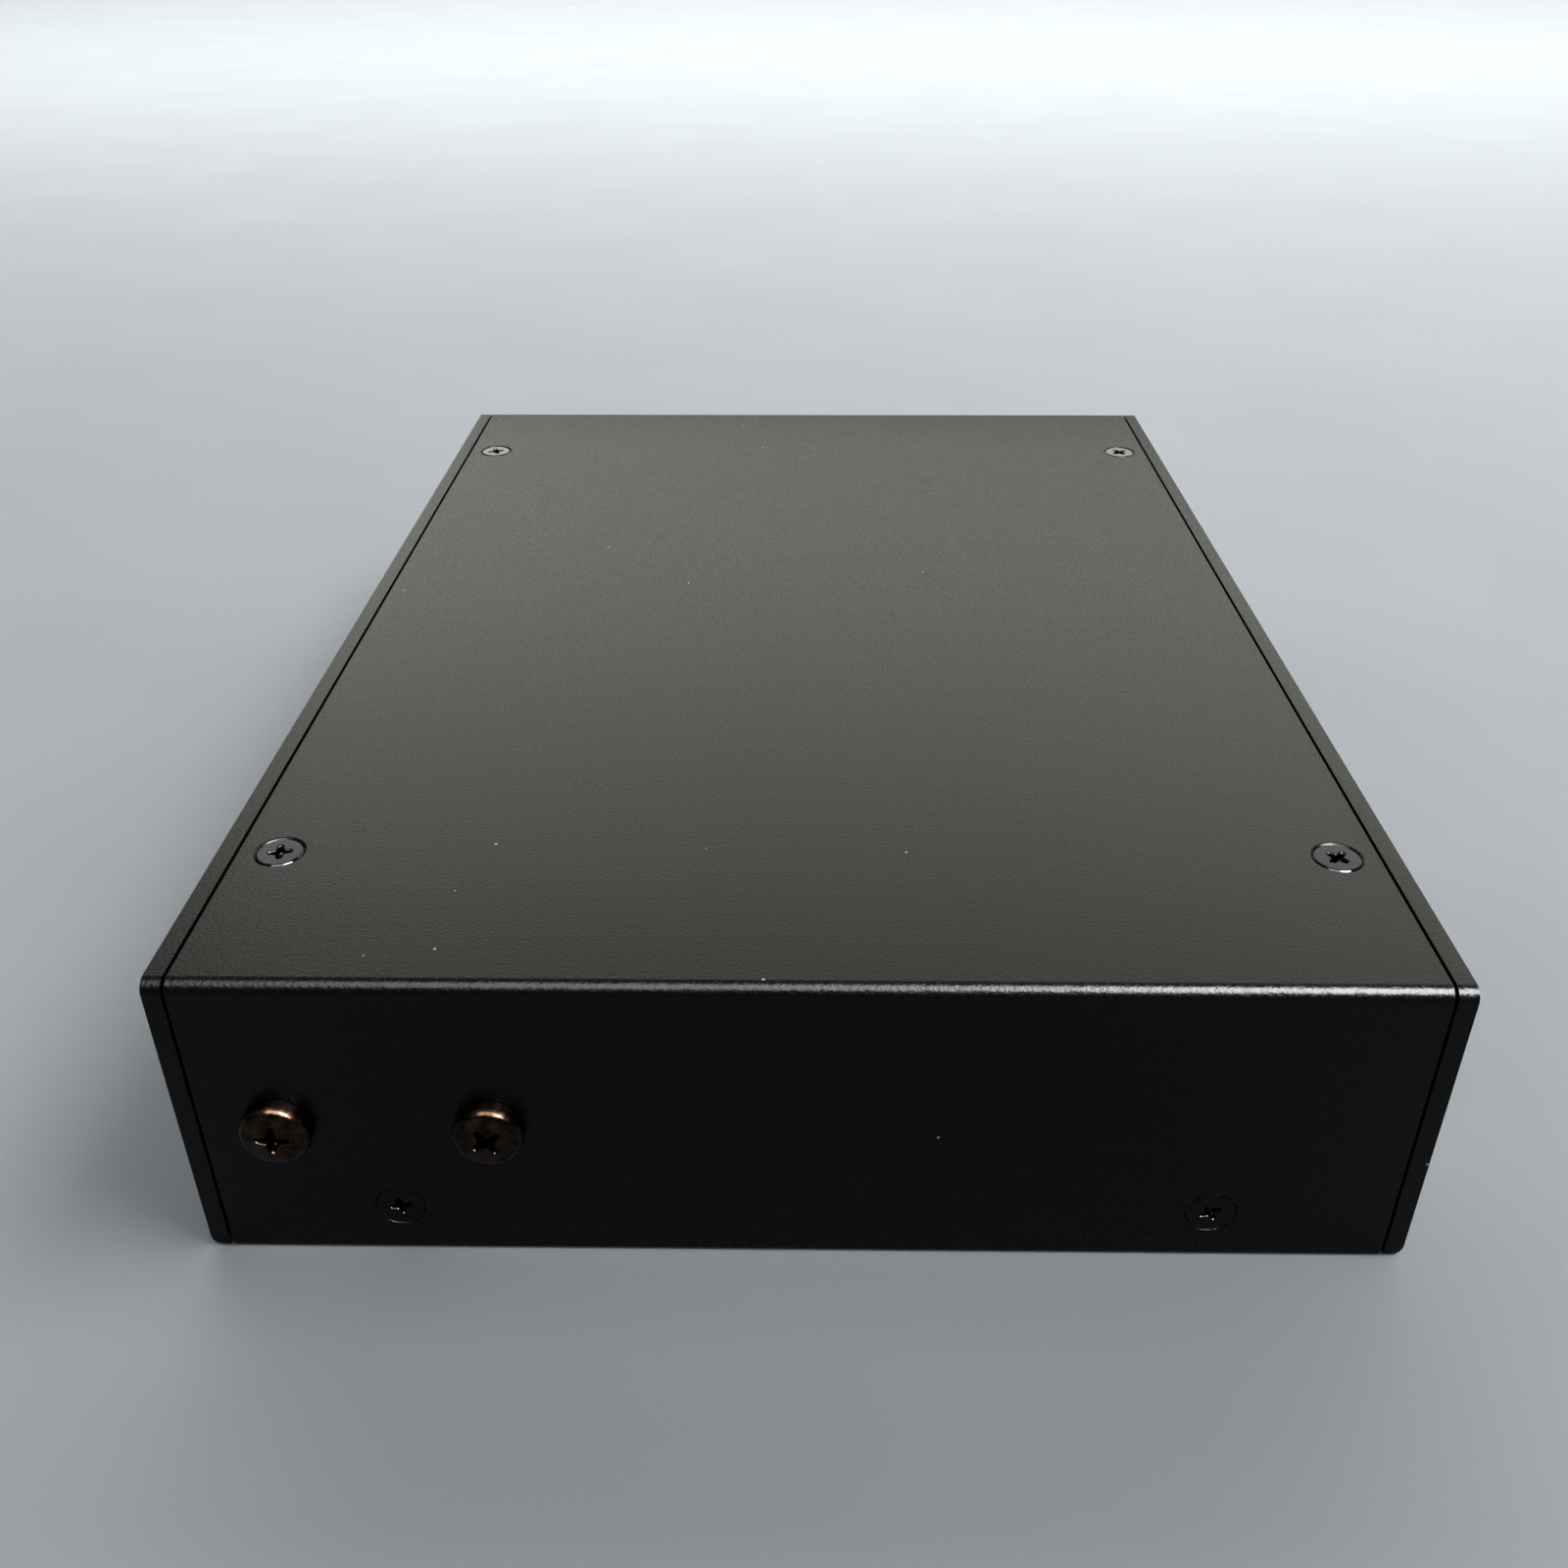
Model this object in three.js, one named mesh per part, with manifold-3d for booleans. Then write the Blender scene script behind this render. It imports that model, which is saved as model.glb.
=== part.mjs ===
// A fanless firewall appliance in a two-part sheet-steel case, in millimetres, +Z up.
// X runs across the case: the status panel faces -X and the port panel faces +X. Y runs along its length.
// The origin is the middle of the underside, on the surface that the case stands on.
import * as THREE from "three";
import { mergeVertices } from "three/addons/utils/BufferGeometryUtils.js";
import Module from "manifold-3d";

const wasm = await Module();
wasm.setup();

// ---------------------------------------------------------------- driving dimensions

const CASE = { width: 132, length: 182.4, height: 37.2 };
const SHEET = { panel: 2.0, cover: 1.2, bend: 1.5, foot: 0.4, seam: 0.3, slip: 0.3, lift: 0.25 };
const LIP = { top: 11, inset: 1 };
const TAB = { deep: 10, half: 8, drop: 0.1 };
const COVER_SCREW = { x: 59, y: 67.8 };
const SIDE_SCREW = { x: 44.1, z: 6.4 };
const EAR = { x: [-55.4, -33.1], z: 18.3, pad: 7 };

const FLAT_SCREW = { thread: 3.0, head: 5.35, sink: 5.8, length: 6.0, tip: 0.3, below: 0.05, rim: 0.1 };
const FLAT_RECESS = { span: 2.8, slot: 0.62, depth: 0.9 };
const PAN_SCREW = { thread: 4.0, head: 7.6, height: 2.5, length: 7.0 };
const BOARD_SCREW = { thread: 3.0, head: 5.6, height: 2.0, length: 5.5 };
const CARD_SCREW = { thread: 2.5, head: 4.6, height: 1.6, length: 4.3 };
// A pan head's dome, and its recess, as shares of the head's radius or diameter and of its height.
const PAN_DOME = [[1, 0.45], [0.85, 0.85], [0.5, 1]];
const PAN_RECESS = { span: 0.56, slot: 0.13, depth: 0.72 };
const PAN_TIP = 0.4;
// A screw's hole is this much wider than its thread, on the radius.
const HOLE_SLACK = 0.15;
const COVER_SLACK = 0.25;

const BOARD = { x0: -42, x1: 60, y0: -73, y1: 73, under: 7, thick: 1.6, corner: 1.5, hole: 1.65 };
const BOARD_HOLES = [[-37, -68.5], [-37, 68.5], [52, -68.5], [52, 68.5]];
const STANDOFF = { hex: 3.0, shank: 2.4, seat: 2.45, bore: 1.6, lift: 0.05, floor: 1.0 };
const CHIP_PACK = { side: 31, height: 2.3, pad: 29, padThick: 0.5 };
const SINK = { x: 10, y: -2, side: 60, base: 4, top: 29, fins: 11, fin: 1.4 };
const SINK_HOLE = { offset: 25.5, clear: 5, radius: 1.7 };
const MEMORY = { x0: -38, x1: 32, y: 65, bar: 6, arm: 24, height: 4, wall: 1 };
const MEMORY_SLOT = { inset: 1.1, back: 2, from: 1.9, to: 3.3 };
const MODULE = { length: 67.6, width: 30, thick: 1.2, lift: 2.0, edge: 2.2 };
const MODULE_CHIP = { count: 4, first: -24, pitch: 16, half: 5.5, from: 22, to: 10, high: 1.0 };
const MODULE_KEY = { from: 3, to: 4.8, deep: 3 };
const CARD = { x0: -36, x1: 15, y: -49.5, width: 29.8, thick: 1.0, lift: 3.4, hole: 3.2, bore: 1.5 };
const CARD_CHIP = { x: [-22, -6], long: 14, half: 9, high: 1.0 };
const CARD_SOCKET = { x0: -40, x1: -32, half: 15.5, height: 5.2 };
const CARD_SLOT = { half: 15.1, from: 3.3, to: 4.5, slack: 0.2 };
const CELL = { x: 30, y: -57, radius: 10, thick: 3.2, slack: 0.25, lift: 0.05 };
const CUP = { radius: 11.4, rim: 4.6, floor: 1.0, gate: 4 };
const CHOKE = { x0: -36, x1: -26, y: [-26, -14], half: 5, high: 4.8 };
const CAPACITOR = { x: -31, y: -1, radius: 5, high: 12 };

const JACK = { width: 16, height: 13.4, back: 45, face: 66.3 };
const MOUTH = { width: 11.9, height: 7.0, depth: 14, sill: 3.6 };
const LATCH = { half: 3.1, from: 1.6, to: 4.0 };
const LAN_Y = [2, 20, 38, 56];
const CONSOLE_Y = -36;
const USB = { y: -16.5, width: 13.1, height: 15.6, back: 48.8, face: 66.4, floors: [1.3, 9.2] };
const USB_MOUTH = { half: 6.25, high: 5.1, deep: 12 };
const USB_TONGUE = { half: 5.6, from: 2.5, to: 4.4, back: 13, face: 1.8 };
const DC = { y: -55, z: 15.1, width: 9, height: 11, back: 52, hole: 4.4 };
const DC_NOSE = { radius: 4.0, proud: 2.2, bore: 3.15 };
const DC_PIN = { radius: 1.0, foot: 8.5, deep: 7.5, tip: 1.2 };
const SWITCH = { y: -76, z: 19, length: 19.2, height: 13, back: 50, tilt: 11 };
const BEZEL = { thick: 2.0, flange: 1, corner: 1.2 };
const WELL = { y: 8.6, z: 5.2, deep: 3.2 };
const SPADE = { offset: 4.6, half: 0.4, high: 2.4, tip: 43 };
const PIVOT = { in: 1.5, radius: 1.0, slack: 0.08 };
const ROCKER = { half: 7.6, face: 3.0, high: 4.9, pin: 6.3, back: 2.2, waist: 0.6 };
const HEADER = { x: 46, y: -64, halfX: 3, halfY: 5, high: 6 };
const RESET = { y: 69.5, z: 12.0, plunger: 1.5, travel: 0.5, hole: 0.3, guide: 0.2, sunk: 0.8 };
const RESET_BODY = { x0: 56.4, x1: 61.2, half: 3.2, high: 6.6, well: 57.4 };
const LIGHTS = { y: [74, 64, 46, 38, 30, 22], z: 12.6, radius: 1.5, slack: 0.1 };
const PIPE = { end: 42.4, stem: 1.2, collar: 2.2, collarLong: 1.2, gap: 0.05 };
const PIPE_DOME = { side: 0.2, high: 0.7, flat: 0.6 };
const GROUND = { y: 81, z: 12, washer: 4.6, thick: 0.8, bore: 2.15 };
const LOCK_SLOT = { y: 81, z: 25, length: 7, height: 3 };
const PORT_VENT = { first: -8, pitch: 9, count: 9, z: 29, length: 6.5, width: 2 };
const STATUS_VENT = { first: -76, pitch: 7, count: 11, z: 18.5, length: 15, width: 2.4 };
const TRAY_VENT = { first: -36, pitch: 12, count: 7, y: [-42, 42], length: 26, width: 3 };
const WINDOW_GAP = 0.25;
const SWITCH_GAP = 0.2;

// How far a cutting shape runs past the surface that it cuts, and how far a joined shape reaches in.
const PAST = 1;
const BITE = 0.5;

const HALF_X = CASE.width / 2;
const HALF_Y = CASE.length / 2;
const PANEL_IN = HALF_X - SHEET.panel;
const COVER_HALF = PANEL_IN - SHEET.seam;
const COVER_UNDER = CASE.height - SHEET.cover;
const LIP_OUT = HALF_Y - SHEET.cover - SHEET.slip;
const LIP_IN = LIP_OUT - SHEET.panel;
const BOARD_TOP = BOARD.under + BOARD.thick;
const CHIP_TOP = BOARD_TOP + CHIP_PACK.height;
const SINK_FOOT = CHIP_TOP + CHIP_PACK.padThick;

// ---------------------------------------------------------------- finishes

const finish = (color, roughness, metalness) =>
  new THREE.MeshStandardMaterial({ color, roughness, metalness });
const PAINT = finish(0x15181a, 0.5, 0.2);
const BLACK_STEEL = finish(0x1c1c1e, 0.35, 0.8);
const BRONZE = finish(0x5a4028, 0.4, 0.9);
const STEEL = finish(0xb8b9ba, 0.35, 1.0);
const BRASS = finish(0xb58e4c, 0.35, 1.0);
const ALUMINIUM = finish(0x9fa1a3, 0.4, 1.0);
const LAMINATE = finish(0x1d4a2c, 0.5, 0.0);
const CHIP = finish(0x1a1a1b, 0.6, 0.0);
const PLASTIC = finish(0x121213, 0.5, 0.0);
const IVORY = finish(0xd8d2c0, 0.5, 0.0);
const CLEAR = finish(0xdfe6e6, 0.15, 0.0);
const PAD = finish(0x8f9498, 0.9, 0.0);
const RED = finish(0xa02420, 0.5, 0.0);

// ---------------------------------------------------------------- solids

// A closed three.js geometry as a manifold-3d solid, for cutting and joining.
function solid(geometry) {
  const bare = geometry.index ? geometry.toNonIndexed() : geometry.clone();
  for (const name of Object.keys(bare.attributes)) {
    if (name !== "position") bare.deleteAttribute(name);
  }
  const merged = mergeVertices(bare, 1e-4);
  return new wasm.Manifold(
    new wasm.Mesh({
      numProp: 3,
      vertProperties: new Float32Array(merged.attributes.position.array),
      triVerts: new Uint32Array(merged.index.array),
    }),
  );
}

const join = (first, ...others) => others.reduce((sum, next) => sum.add(next), first);
const cut = (body, ...tools) => tools.reduce((rest, tool) => rest.subtract(tool), body);

function geometryOf(body) {
  const mesh = body.getMesh();
  const indexed = new THREE.BufferGeometry();
  indexed.setAttribute("position", new THREE.BufferAttribute(new Float32Array(mesh.vertProperties), 3));
  indexed.setIndex(new THREE.BufferAttribute(new Uint32Array(mesh.triVerts), 1));
  const flat = indexed.toNonIndexed();
  flat.computeVertexNormals();
  return flat;
}

// A block between two values on each axis.
function block([x0, x1], [y0, y1], [z0, z1]) {
  const box = new THREE.BoxGeometry(x1 - x0, y1 - y0, z1 - z0);
  return solid(box.translate((x0 + x1) / 2, (y0 + y1) / 2, (z0 + z1) / 2));
}

const around = (middle, half) => [middle - half, middle + half];
const outward = (sign, from, to) => [sign * from, sign * to].sort((a, b) => a - b);

const AXIS_TURN = {
  "+x": new THREE.Matrix4().makeRotationZ(-Math.PI / 2),
  "-x": new THREE.Matrix4().makeRotationZ(Math.PI / 2),
  "+y": new THREE.Matrix4(),
  "-y": new THREE.Matrix4().makeRotationX(Math.PI),
  "+z": new THREE.Matrix4().makeRotationX(Math.PI / 2),
};

// Sides of a round piece, from a small hole to a large socket.
const SIDES = { few: 12, some: 16, many: 24 };

// A profile of [radius, height] points from axis to axis, turned round, its height along the named axis.
function turned(profile, axis, [x, y, z], sides = SIDES.some) {
  const points = profile.map(([radius, height]) => new THREE.Vector2(radius, height));
  const lathe = new THREE.LatheGeometry(points, sides);
  return solid(lathe.applyMatrix4(AXIS_TURN[axis]).translate(x, y, z));
}

// A round bar from height `from` to height `to` along the named axis.
function rod(radius, from, to, axis, at, sides = SIDES.some) {
  return turned([[0, from], [radius, from], [radius, to], [0, to]], axis, at, sides);
}

const extruded = (outline, depth, arcs) =>
  new THREE.ExtrudeGeometry(outline, { depth, bevelEnabled: false, curveSegments: arcs });

// An outline drawn in (y, z) and extruded from x0 to x1.
function acrossX(outline, x0, x1, arcs = 6) {
  const body = extruded(outline, x1 - x0, arcs);
  const turn = new THREE.Matrix4().makeBasis(
    new THREE.Vector3(0, 1, 0),
    new THREE.Vector3(0, 0, 1),
    new THREE.Vector3(1, 0, 0),
  );
  return solid(body.applyMatrix4(turn).translate(x0, 0, 0));
}

// An outline drawn in (x, z) and extruded over y from -half to half.
function acrossY(outline, half, arcs = 6) {
  const body = extruded(outline, 2 * half, arcs);
  return solid(body.rotateX(Math.PI / 2).translate(0, half, 0));
}

// An outline drawn in (x, y) and extruded from z0 to z1.
function upright(outline, z0, z1, arcs = 6) {
  const body = extruded(outline, z1 - z0, arcs);
  return solid(body.translate(0, 0, z0));
}

// A rectangle with rounded corners, from (u0, v0) to (u1, v1). The lower two can have their own radius.
function roundedOutline(u0, v0, u1, v1, r, low = r) {
  const shape = new THREE.Shape();
  shape.moveTo(u0 + low, v0);
  shape.lineTo(u1 - low, v0);
  shape.absarc(u1 - low, v0 + low, low, -Math.PI / 2, 0);
  shape.lineTo(u1, v1 - r);
  shape.absarc(u1 - r, v1 - r, r, 0, Math.PI / 2);
  shape.lineTo(u0 + r, v1);
  shape.absarc(u0 + r, v1 - r, r, Math.PI / 2, Math.PI);
  shape.lineTo(u0, v0 + low);
  shape.absarc(u0 + low, v0 + low, low, Math.PI, 1.5 * Math.PI);
  return shape;
}

// A slot with round ends, `length` long and `width` wide, centred at (u, v), along u or v.
// Its end radius is a hair under half its width, so that its two arcs don't share a point.
const HAIR = 0.01;
function slotOutline(u, v, length, width, alongU) {
  const [du, dv] = alongU ? [length / 2, width / 2] : [width / 2, length / 2];
  return roundedOutline(u - du, v - dv, u + du, v + dv, width / 2 - HAIR);
}

// The middles of a row of `count` slots.
const row = ({ first, pitch, count }) => Array.from({ length: count }, (_, i) => first + pitch * i);

const group = new THREE.Group();

// Adds one named piece and returns its mesh.
function add(name, body, material) {
  const mesh = new THREE.Mesh(geometryOf(body), material);
  mesh.name = name;
  group.add(mesh);
  return mesh;
}

// ---------------------------------------------------------------- screws

// A cross recess: two crossed slots of the given span, sunk to `depth` below the head's top.
function crossRecess({ span, slot, depth }, top, axis, at, spin) {
  const slots = [0, Math.PI / 2].map((turn) => {
    const bar = new THREE.BoxGeometry(span, 2 * depth, slot).rotateY(turn + spin).translate(0, top, 0);
    return solid(bar.applyMatrix4(AXIS_TURN[axis]).translate(...at));
  });
  return join(...slots);
}

// A countersunk screw whose head lies just under the surface at `at`, facing along the named axis.
function flatScrew(axis, at, spin) {
  const { length, tip } = FLAT_SCREW;
  const [head, shank] = [FLAT_SCREW.head / 2, FLAT_SCREW.thread / 2];
  const top = -FLAT_SCREW.below;
  const rim = top - FLAT_SCREW.rim;
  const neck = rim - (head - shank);
  const profile = [[0, -length], [shank - tip, -length], [shank, tip - length], [shank, neck], [head, rim],
    [head, top], [0, top]];
  return cut(turned(profile, axis, at, SIDES.few), crossRecess(FLAT_RECESS, top, axis, at, spin));
}

// The countersink and clearance hole that a flat screw passes through.
function flatScrewHole(axis, at) {
  const sink = FLAT_SCREW.sink / 2;
  const clear = FLAT_SCREW.thread / 2 + HOLE_SLACK;
  const deep = -FLAT_SCREW.length - PAST;
  const profile = [[0, deep], [clear, deep], [clear, clear - sink], [sink, 0], [sink, PAST], [0, PAST]];
  return turned(profile, axis, at, SIDES.few);
}

// A pan-head screw seated on the surface at `at`, facing along the named axis.
function panScrew(axis, at, { thread, head, height, length }, spin) {
  const [r, s] = [head / 2, thread / 2];
  const dome = PAN_DOME.map(([across, up]) => [across * r, up * height]);
  const shank = [[0, -length], [s - PAN_TIP, -length], [s, PAN_TIP - length], [s, 0]];
  const profile = [...shank, [r, 0], ...dome, [0, height]];
  const { span, slot, depth } = PAN_RECESS;
  const recess = { span: span * head, slot: slot * head, depth: depth * height };
  return cut(turned(profile, axis, at, SIDES.few), crossRecess(recess, height, axis, at, spin));
}

// ---------------------------------------------------------------- base chassis

const facing = (end) => (end < 0 ? "-y" : "+y");

// The tray and both panels are one bent sheet: a U across X, with lips turned up at both ends of the tray
// and two tabs turned in at the top of each panel.
function baseChassis() {
  const bend = SHEET.bend;
  const channel = new THREE.Shape();
  channel.moveTo(-HALF_X + bend, 0);
  channel.lineTo(HALF_X - bend, 0);
  channel.absarc(HALF_X - bend, bend, bend, -Math.PI / 2, 0);
  channel.lineTo(HALF_X, CASE.height);
  channel.lineTo(PANEL_IN, CASE.height);
  channel.lineTo(PANEL_IN, SHEET.panel);
  channel.lineTo(-PANEL_IN, SHEET.panel);
  channel.lineTo(-PANEL_IN, CASE.height);
  channel.lineTo(-HALF_X, CASE.height);
  channel.lineTo(-HALF_X, bend);
  channel.absarc(-HALF_X + bend, bend, bend, Math.PI, 1.5 * Math.PI);
  const sideView = roundedOutline(-HALF_Y, 0, HALF_Y, CASE.height, bend, SHEET.foot);
  let body = acrossY(channel, HALF_Y).intersect(acrossX(sideView, -HALF_X - PAST, HALF_X + PAST));

  for (const end of [-1, 1]) {
    const roomY = outward(end, LIP_OUT, HALF_Y + PAST);
    const room = block([-PANEL_IN, PANEL_IN], roomY, [-PAST, CASE.height + PAST]);
    const lipX = PANEL_IN - LIP.inset;
    const lipY = outward(end, LIP_IN, LIP_OUT);
    const lip = block([-lipX, lipX], lipY, [SHEET.panel / 2, LIP.top]);
    const ear = block([-lipX, EAR.x[1] + EAR.pad], lipY, [LIP.top - PAST, EAR.z + EAR.pad]);
    body = join(cut(body, room), lip, ear);
    for (const side of [-1, 1]) {
      const tabX = outward(side, PANEL_IN - TAB.deep, PANEL_IN + BITE);
      const tabTop = COVER_UNDER - TAB.drop;
      body = join(body, block(tabX, around(end * COVER_SCREW.y, TAB.half), [tabTop - SHEET.panel, tabTop]));
      body = cut(body, flatScrewHole("+z", [side * COVER_SCREW.x, end * COVER_SCREW.y, CASE.height]));
      body = cut(body, flatScrewHole(facing(end), [side * SIDE_SCREW.x, end * HALF_Y, SIDE_SCREW.z]));
    }
    for (const x of EAR.x) {
      const hole = PAN_SCREW.thread / 2 + HOLE_SLACK;
      body = cut(body, rod(hole, -SHEET.panel - PAST, PAST, facing(end), [x, end * LIP_OUT, EAR.z]));
    }
  }
  return cut(body, ...portCuts(), ...statusCuts(), ...trayCuts());
}

// Holes in the port panel: a window for each socket, round holes, the lock slot and a row of air slots.
function portCuts() {
  const through = [PANEL_IN - PAST, HALF_X + PAST];
  const window = (y, half, z0, z1, gap) => block(through, around(y, half + gap), [z0 - gap, z1 + gap]);
  const bored = (radius, y, z, sides) =>
    rod(radius, -PAST, SHEET.panel + PAST, "+x", [PANEL_IN, y, z], sides);
  const jacks = [...LAN_Y, CONSOLE_Y].map((y) =>
    window(y, JACK.width / 2, BOARD_TOP, BOARD_TOP + JACK.height, WINDOW_GAP));
  const [switchLow, switchHigh] = around(SWITCH.z, SWITCH.height / 2);
  const lock = slotOutline(LOCK_SLOT.y, LOCK_SLOT.z, LOCK_SLOT.length, LOCK_SLOT.height, true);
  const { z, length, width } = PORT_VENT;
  const vents = row(PORT_VENT).map((y) => slotOutline(y, z, length, width, true));
  return [
    ...jacks,
    window(USB.y, USB.width / 2, BOARD_TOP, BOARD_TOP + USB.height, WINDOW_GAP),
    window(SWITCH.y, SWITCH.length / 2, switchLow, switchHigh, SWITCH_GAP),
    bored(DC.hole, DC.y, DC.z, SIDES.many),
    bored(RESET.plunger + RESET.hole, RESET.y, RESET.z),
    bored(PAN_SCREW.thread / 2 + HOLE_SLACK, GROUND.y, GROUND.z),
    acrossX(lock, ...through, 3),
    ...vents.map((outline) => acrossX(outline, ...through, 2)),
  ];
}

// Holes in the status panel: one for each light pipe and a row of air slots.
function statusCuts() {
  const { z, length, width } = STATUS_VENT;
  const hole = LIGHTS.radius + LIGHTS.slack;
  const pipes = LIGHTS.y.map((y) =>
    rod(hole, -PAST, SHEET.panel + PAST, "-x", [-PANEL_IN, y, LIGHTS.z], SIDES.few));
  const vents = row(STATUS_VENT).map((y) =>
    acrossX(slotOutline(y, z, length, width, false), -HALF_X - PAST, -PANEL_IN + PAST, 2));
  return [...pipes, ...vents];
}

// Holes in the tray: the seats of the four standoffs, and a row of air slots under each end of the board.
function trayCuts() {
  const { length, width } = TRAY_VENT;
  const seats = BOARD_HOLES.map(([x, y]) =>
    rod(STANDOFF.seat, -PAST, SHEET.panel + PAST, "+z", [x, y, 0], SIDES.few));
  const vents = TRAY_VENT.y.flatMap((y) =>
    row(TRAY_VENT).map((x) => upright(slotOutline(x, y, length, width, false), -PAST, SHEET.panel + PAST, 2)));
  return [...seats, ...vents];
}

// ---------------------------------------------------------------- top cover

// An upturned U along Y, bent from one sheet.
function topCover() {
  const [t, r] = [SHEET.cover, SHEET.bend];
  const [y, z, foot] = [HALF_Y, CASE.height, SHEET.lift];
  const inner = r - t;
  const shape = new THREE.Shape();
  shape.moveTo(-y, foot);
  shape.lineTo(-y + t, foot);
  shape.lineTo(-y + t, z - r);
  shape.absarc(-y + r, z - r, inner, Math.PI, Math.PI / 2, true);
  shape.lineTo(y - r, z - t);
  shape.absarc(y - r, z - r, inner, Math.PI / 2, 0, true);
  shape.lineTo(y - t, foot);
  shape.lineTo(y, foot);
  shape.lineTo(y, z - r);
  shape.absarc(y - r, z - r, r, 0, Math.PI / 2);
  shape.lineTo(-y + r, z);
  shape.absarc(-y + r, z - r, r, Math.PI / 2, Math.PI);
  shape.lineTo(-y, foot);
  let body = acrossX(shape, -COVER_HALF, COVER_HALF);
  for (const end of [-1, 1]) {
    for (const side of [-1, 1]) {
      body = cut(body, flatScrewHole("+z", [side * COVER_SCREW.x, end * COVER_SCREW.y, z]));
      body = cut(body, flatScrewHole(facing(end), [side * SIDE_SCREW.x, end * y, SIDE_SCREW.z]));
    }
    for (const x of EAR.x) {
      const hole = PAN_SCREW.thread / 2 + COVER_SLACK;
      body = cut(body, rod(hole, -t - PAST, PAST, facing(end), [x, end * y, EAR.z]));
    }
  }
  return body;
}

add("base_chassis", baseChassis(), PAINT);
add("top_cover", topCover(), PAINT);

// Each corner's side, end and the turn of its top screw, in radians.
const CORNERS = [[-1, -1, 0.25], [1, -1, -0.45], [-1, 1, 0.4], [1, 1, 0.62]];
const SIDE_TURN = 0.6;
CORNERS.forEach(([side, end, spin], i) => {
  const topAt = [side * COVER_SCREW.x, end * COVER_SCREW.y, CASE.height];
  const sideAt = [side * SIDE_SCREW.x, end * HALF_Y, SIDE_SCREW.z];
  add(`cover_screw_top_${i + 1}`, flatScrew("+z", topAt, spin), BLACK_STEEL);
  add(`cover_screw_side_${i + 1}`, flatScrew(facing(end), sideAt, SIDE_TURN - spin), BLACK_STEEL);
});
const EAR_TURN = [0.15, 0.65];
[-1, 1].forEach((end) => {
  EAR.x.forEach((x, i) => {
    const name = `ear_screw_${end < 0 ? "near" : "far"}_${i + 1}`;
    add(name, panScrew(facing(end), [x, end * HALF_Y, EAR.z], PAN_SCREW, EAR_TURN[i]), BRONZE);
  });
});

// ---------------------------------------------------------------- main board and what holds it

function mainBoard() {
  const outline = roundedOutline(BOARD.x0, BOARD.y0, BOARD.x1, BOARD.y1, BOARD.corner);
  const holes = BOARD_HOLES.map(([x, y]) =>
    rod(BOARD.hole, BOARD.under - PAST, BOARD_TOP + PAST, "+z", [x, y, 0], SIDES.few));
  return cut(upright(outline, BOARD.under, BOARD_TOP, 3), ...holes);
}

// A hexagonal standoff whose round shank is pressed into the tray, flush with its underside.
function standoff([x, y]) {
  const hex = rod(STANDOFF.hex, SHEET.panel, BOARD.under, "+z", [x, y, 0], 6);
  const shank = rod(STANDOFF.shank, STANDOFF.lift, SHEET.panel + BITE, "+z", [x, y, 0], SIDES.few);
  const bore = rod(STANDOFF.bore, STANDOFF.floor, BOARD.under + PAST, "+z", [x, y, 0], SIDES.few);
  return cut(join(hex, shank), bore);
}

add("main_board", mainBoard(), LAMINATE);
BOARD_HOLES.forEach((at, i) => {
  const turn = 0.3 * i;
  add(`board_standoff_${i + 1}`, standoff(at), BRASS);
  add(`board_screw_${i + 1}`, panScrew("+z", [...at, BOARD_TOP], BOARD_SCREW, turn), STEEL);
});

// ---------------------------------------------------------------- processor and its heat sink

const square = (side, z0, z1) => block(around(SINK.x, side / 2), around(SINK.y, side / 2), [z0, z1]);
const SINK_SCREWS = [-SINK_HOLE.offset, SINK_HOLE.offset].map((d) => [SINK.x + d, SINK.y + d]);

// A plate with straight fins along X. Two opposite corners are clear for the screws.
function heatSink() {
  const half = SINK.side / 2;
  const pitch = (SINK.side - SINK.fin) / (SINK.fins - 1);
  const plateTop = SINK_FOOT + SINK.base;
  const fins = row({ first: SINK.y - half, pitch, count: SINK.fins }).map((y) =>
    block(around(SINK.x, half), [y, y + SINK.fin], [plateTop - PAST, SINK.top]));
  const corners = SINK_SCREWS.map(([x, y]) =>
    block(around(x, SINK_HOLE.clear), around(y, SINK_HOLE.clear), [plateTop, SINK.top + PAST]));
  const holes = SINK_SCREWS.map(([x, y]) =>
    rod(SINK_HOLE.radius, SINK_FOOT - PAST, SINK.top, "+z", [x, y, 0], SIDES.few));
  return cut(join(square(SINK.side, SINK_FOOT, plateTop), ...fins), ...corners, ...holes);
}

add("processor", square(CHIP_PACK.side, BOARD_TOP, CHIP_TOP), CHIP);
add("thermal_pad", square(CHIP_PACK.pad, CHIP_TOP, SINK_FOOT), PAD);
add("heat_sink", heatSink(), ALUMINIUM);
// These screws stop just above the board.
const SINK_SCREW_GAP = 0.1;
const SINK_SCREW = { ...BOARD_SCREW, length: SINK_FOOT + SINK.base - BOARD_TOP - SINK_SCREW_GAP };
SINK_SCREWS.forEach(([x, y], i) => {
  const turn = 0.5 * i;
  add(`heat_sink_screw_${i + 1}`, panScrew("+z", [x, y, SINK_FOOT + SINK.base], SINK_SCREW, turn), STEEL);
});

// ---------------------------------------------------------------- memory, storage and clock battery

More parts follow.
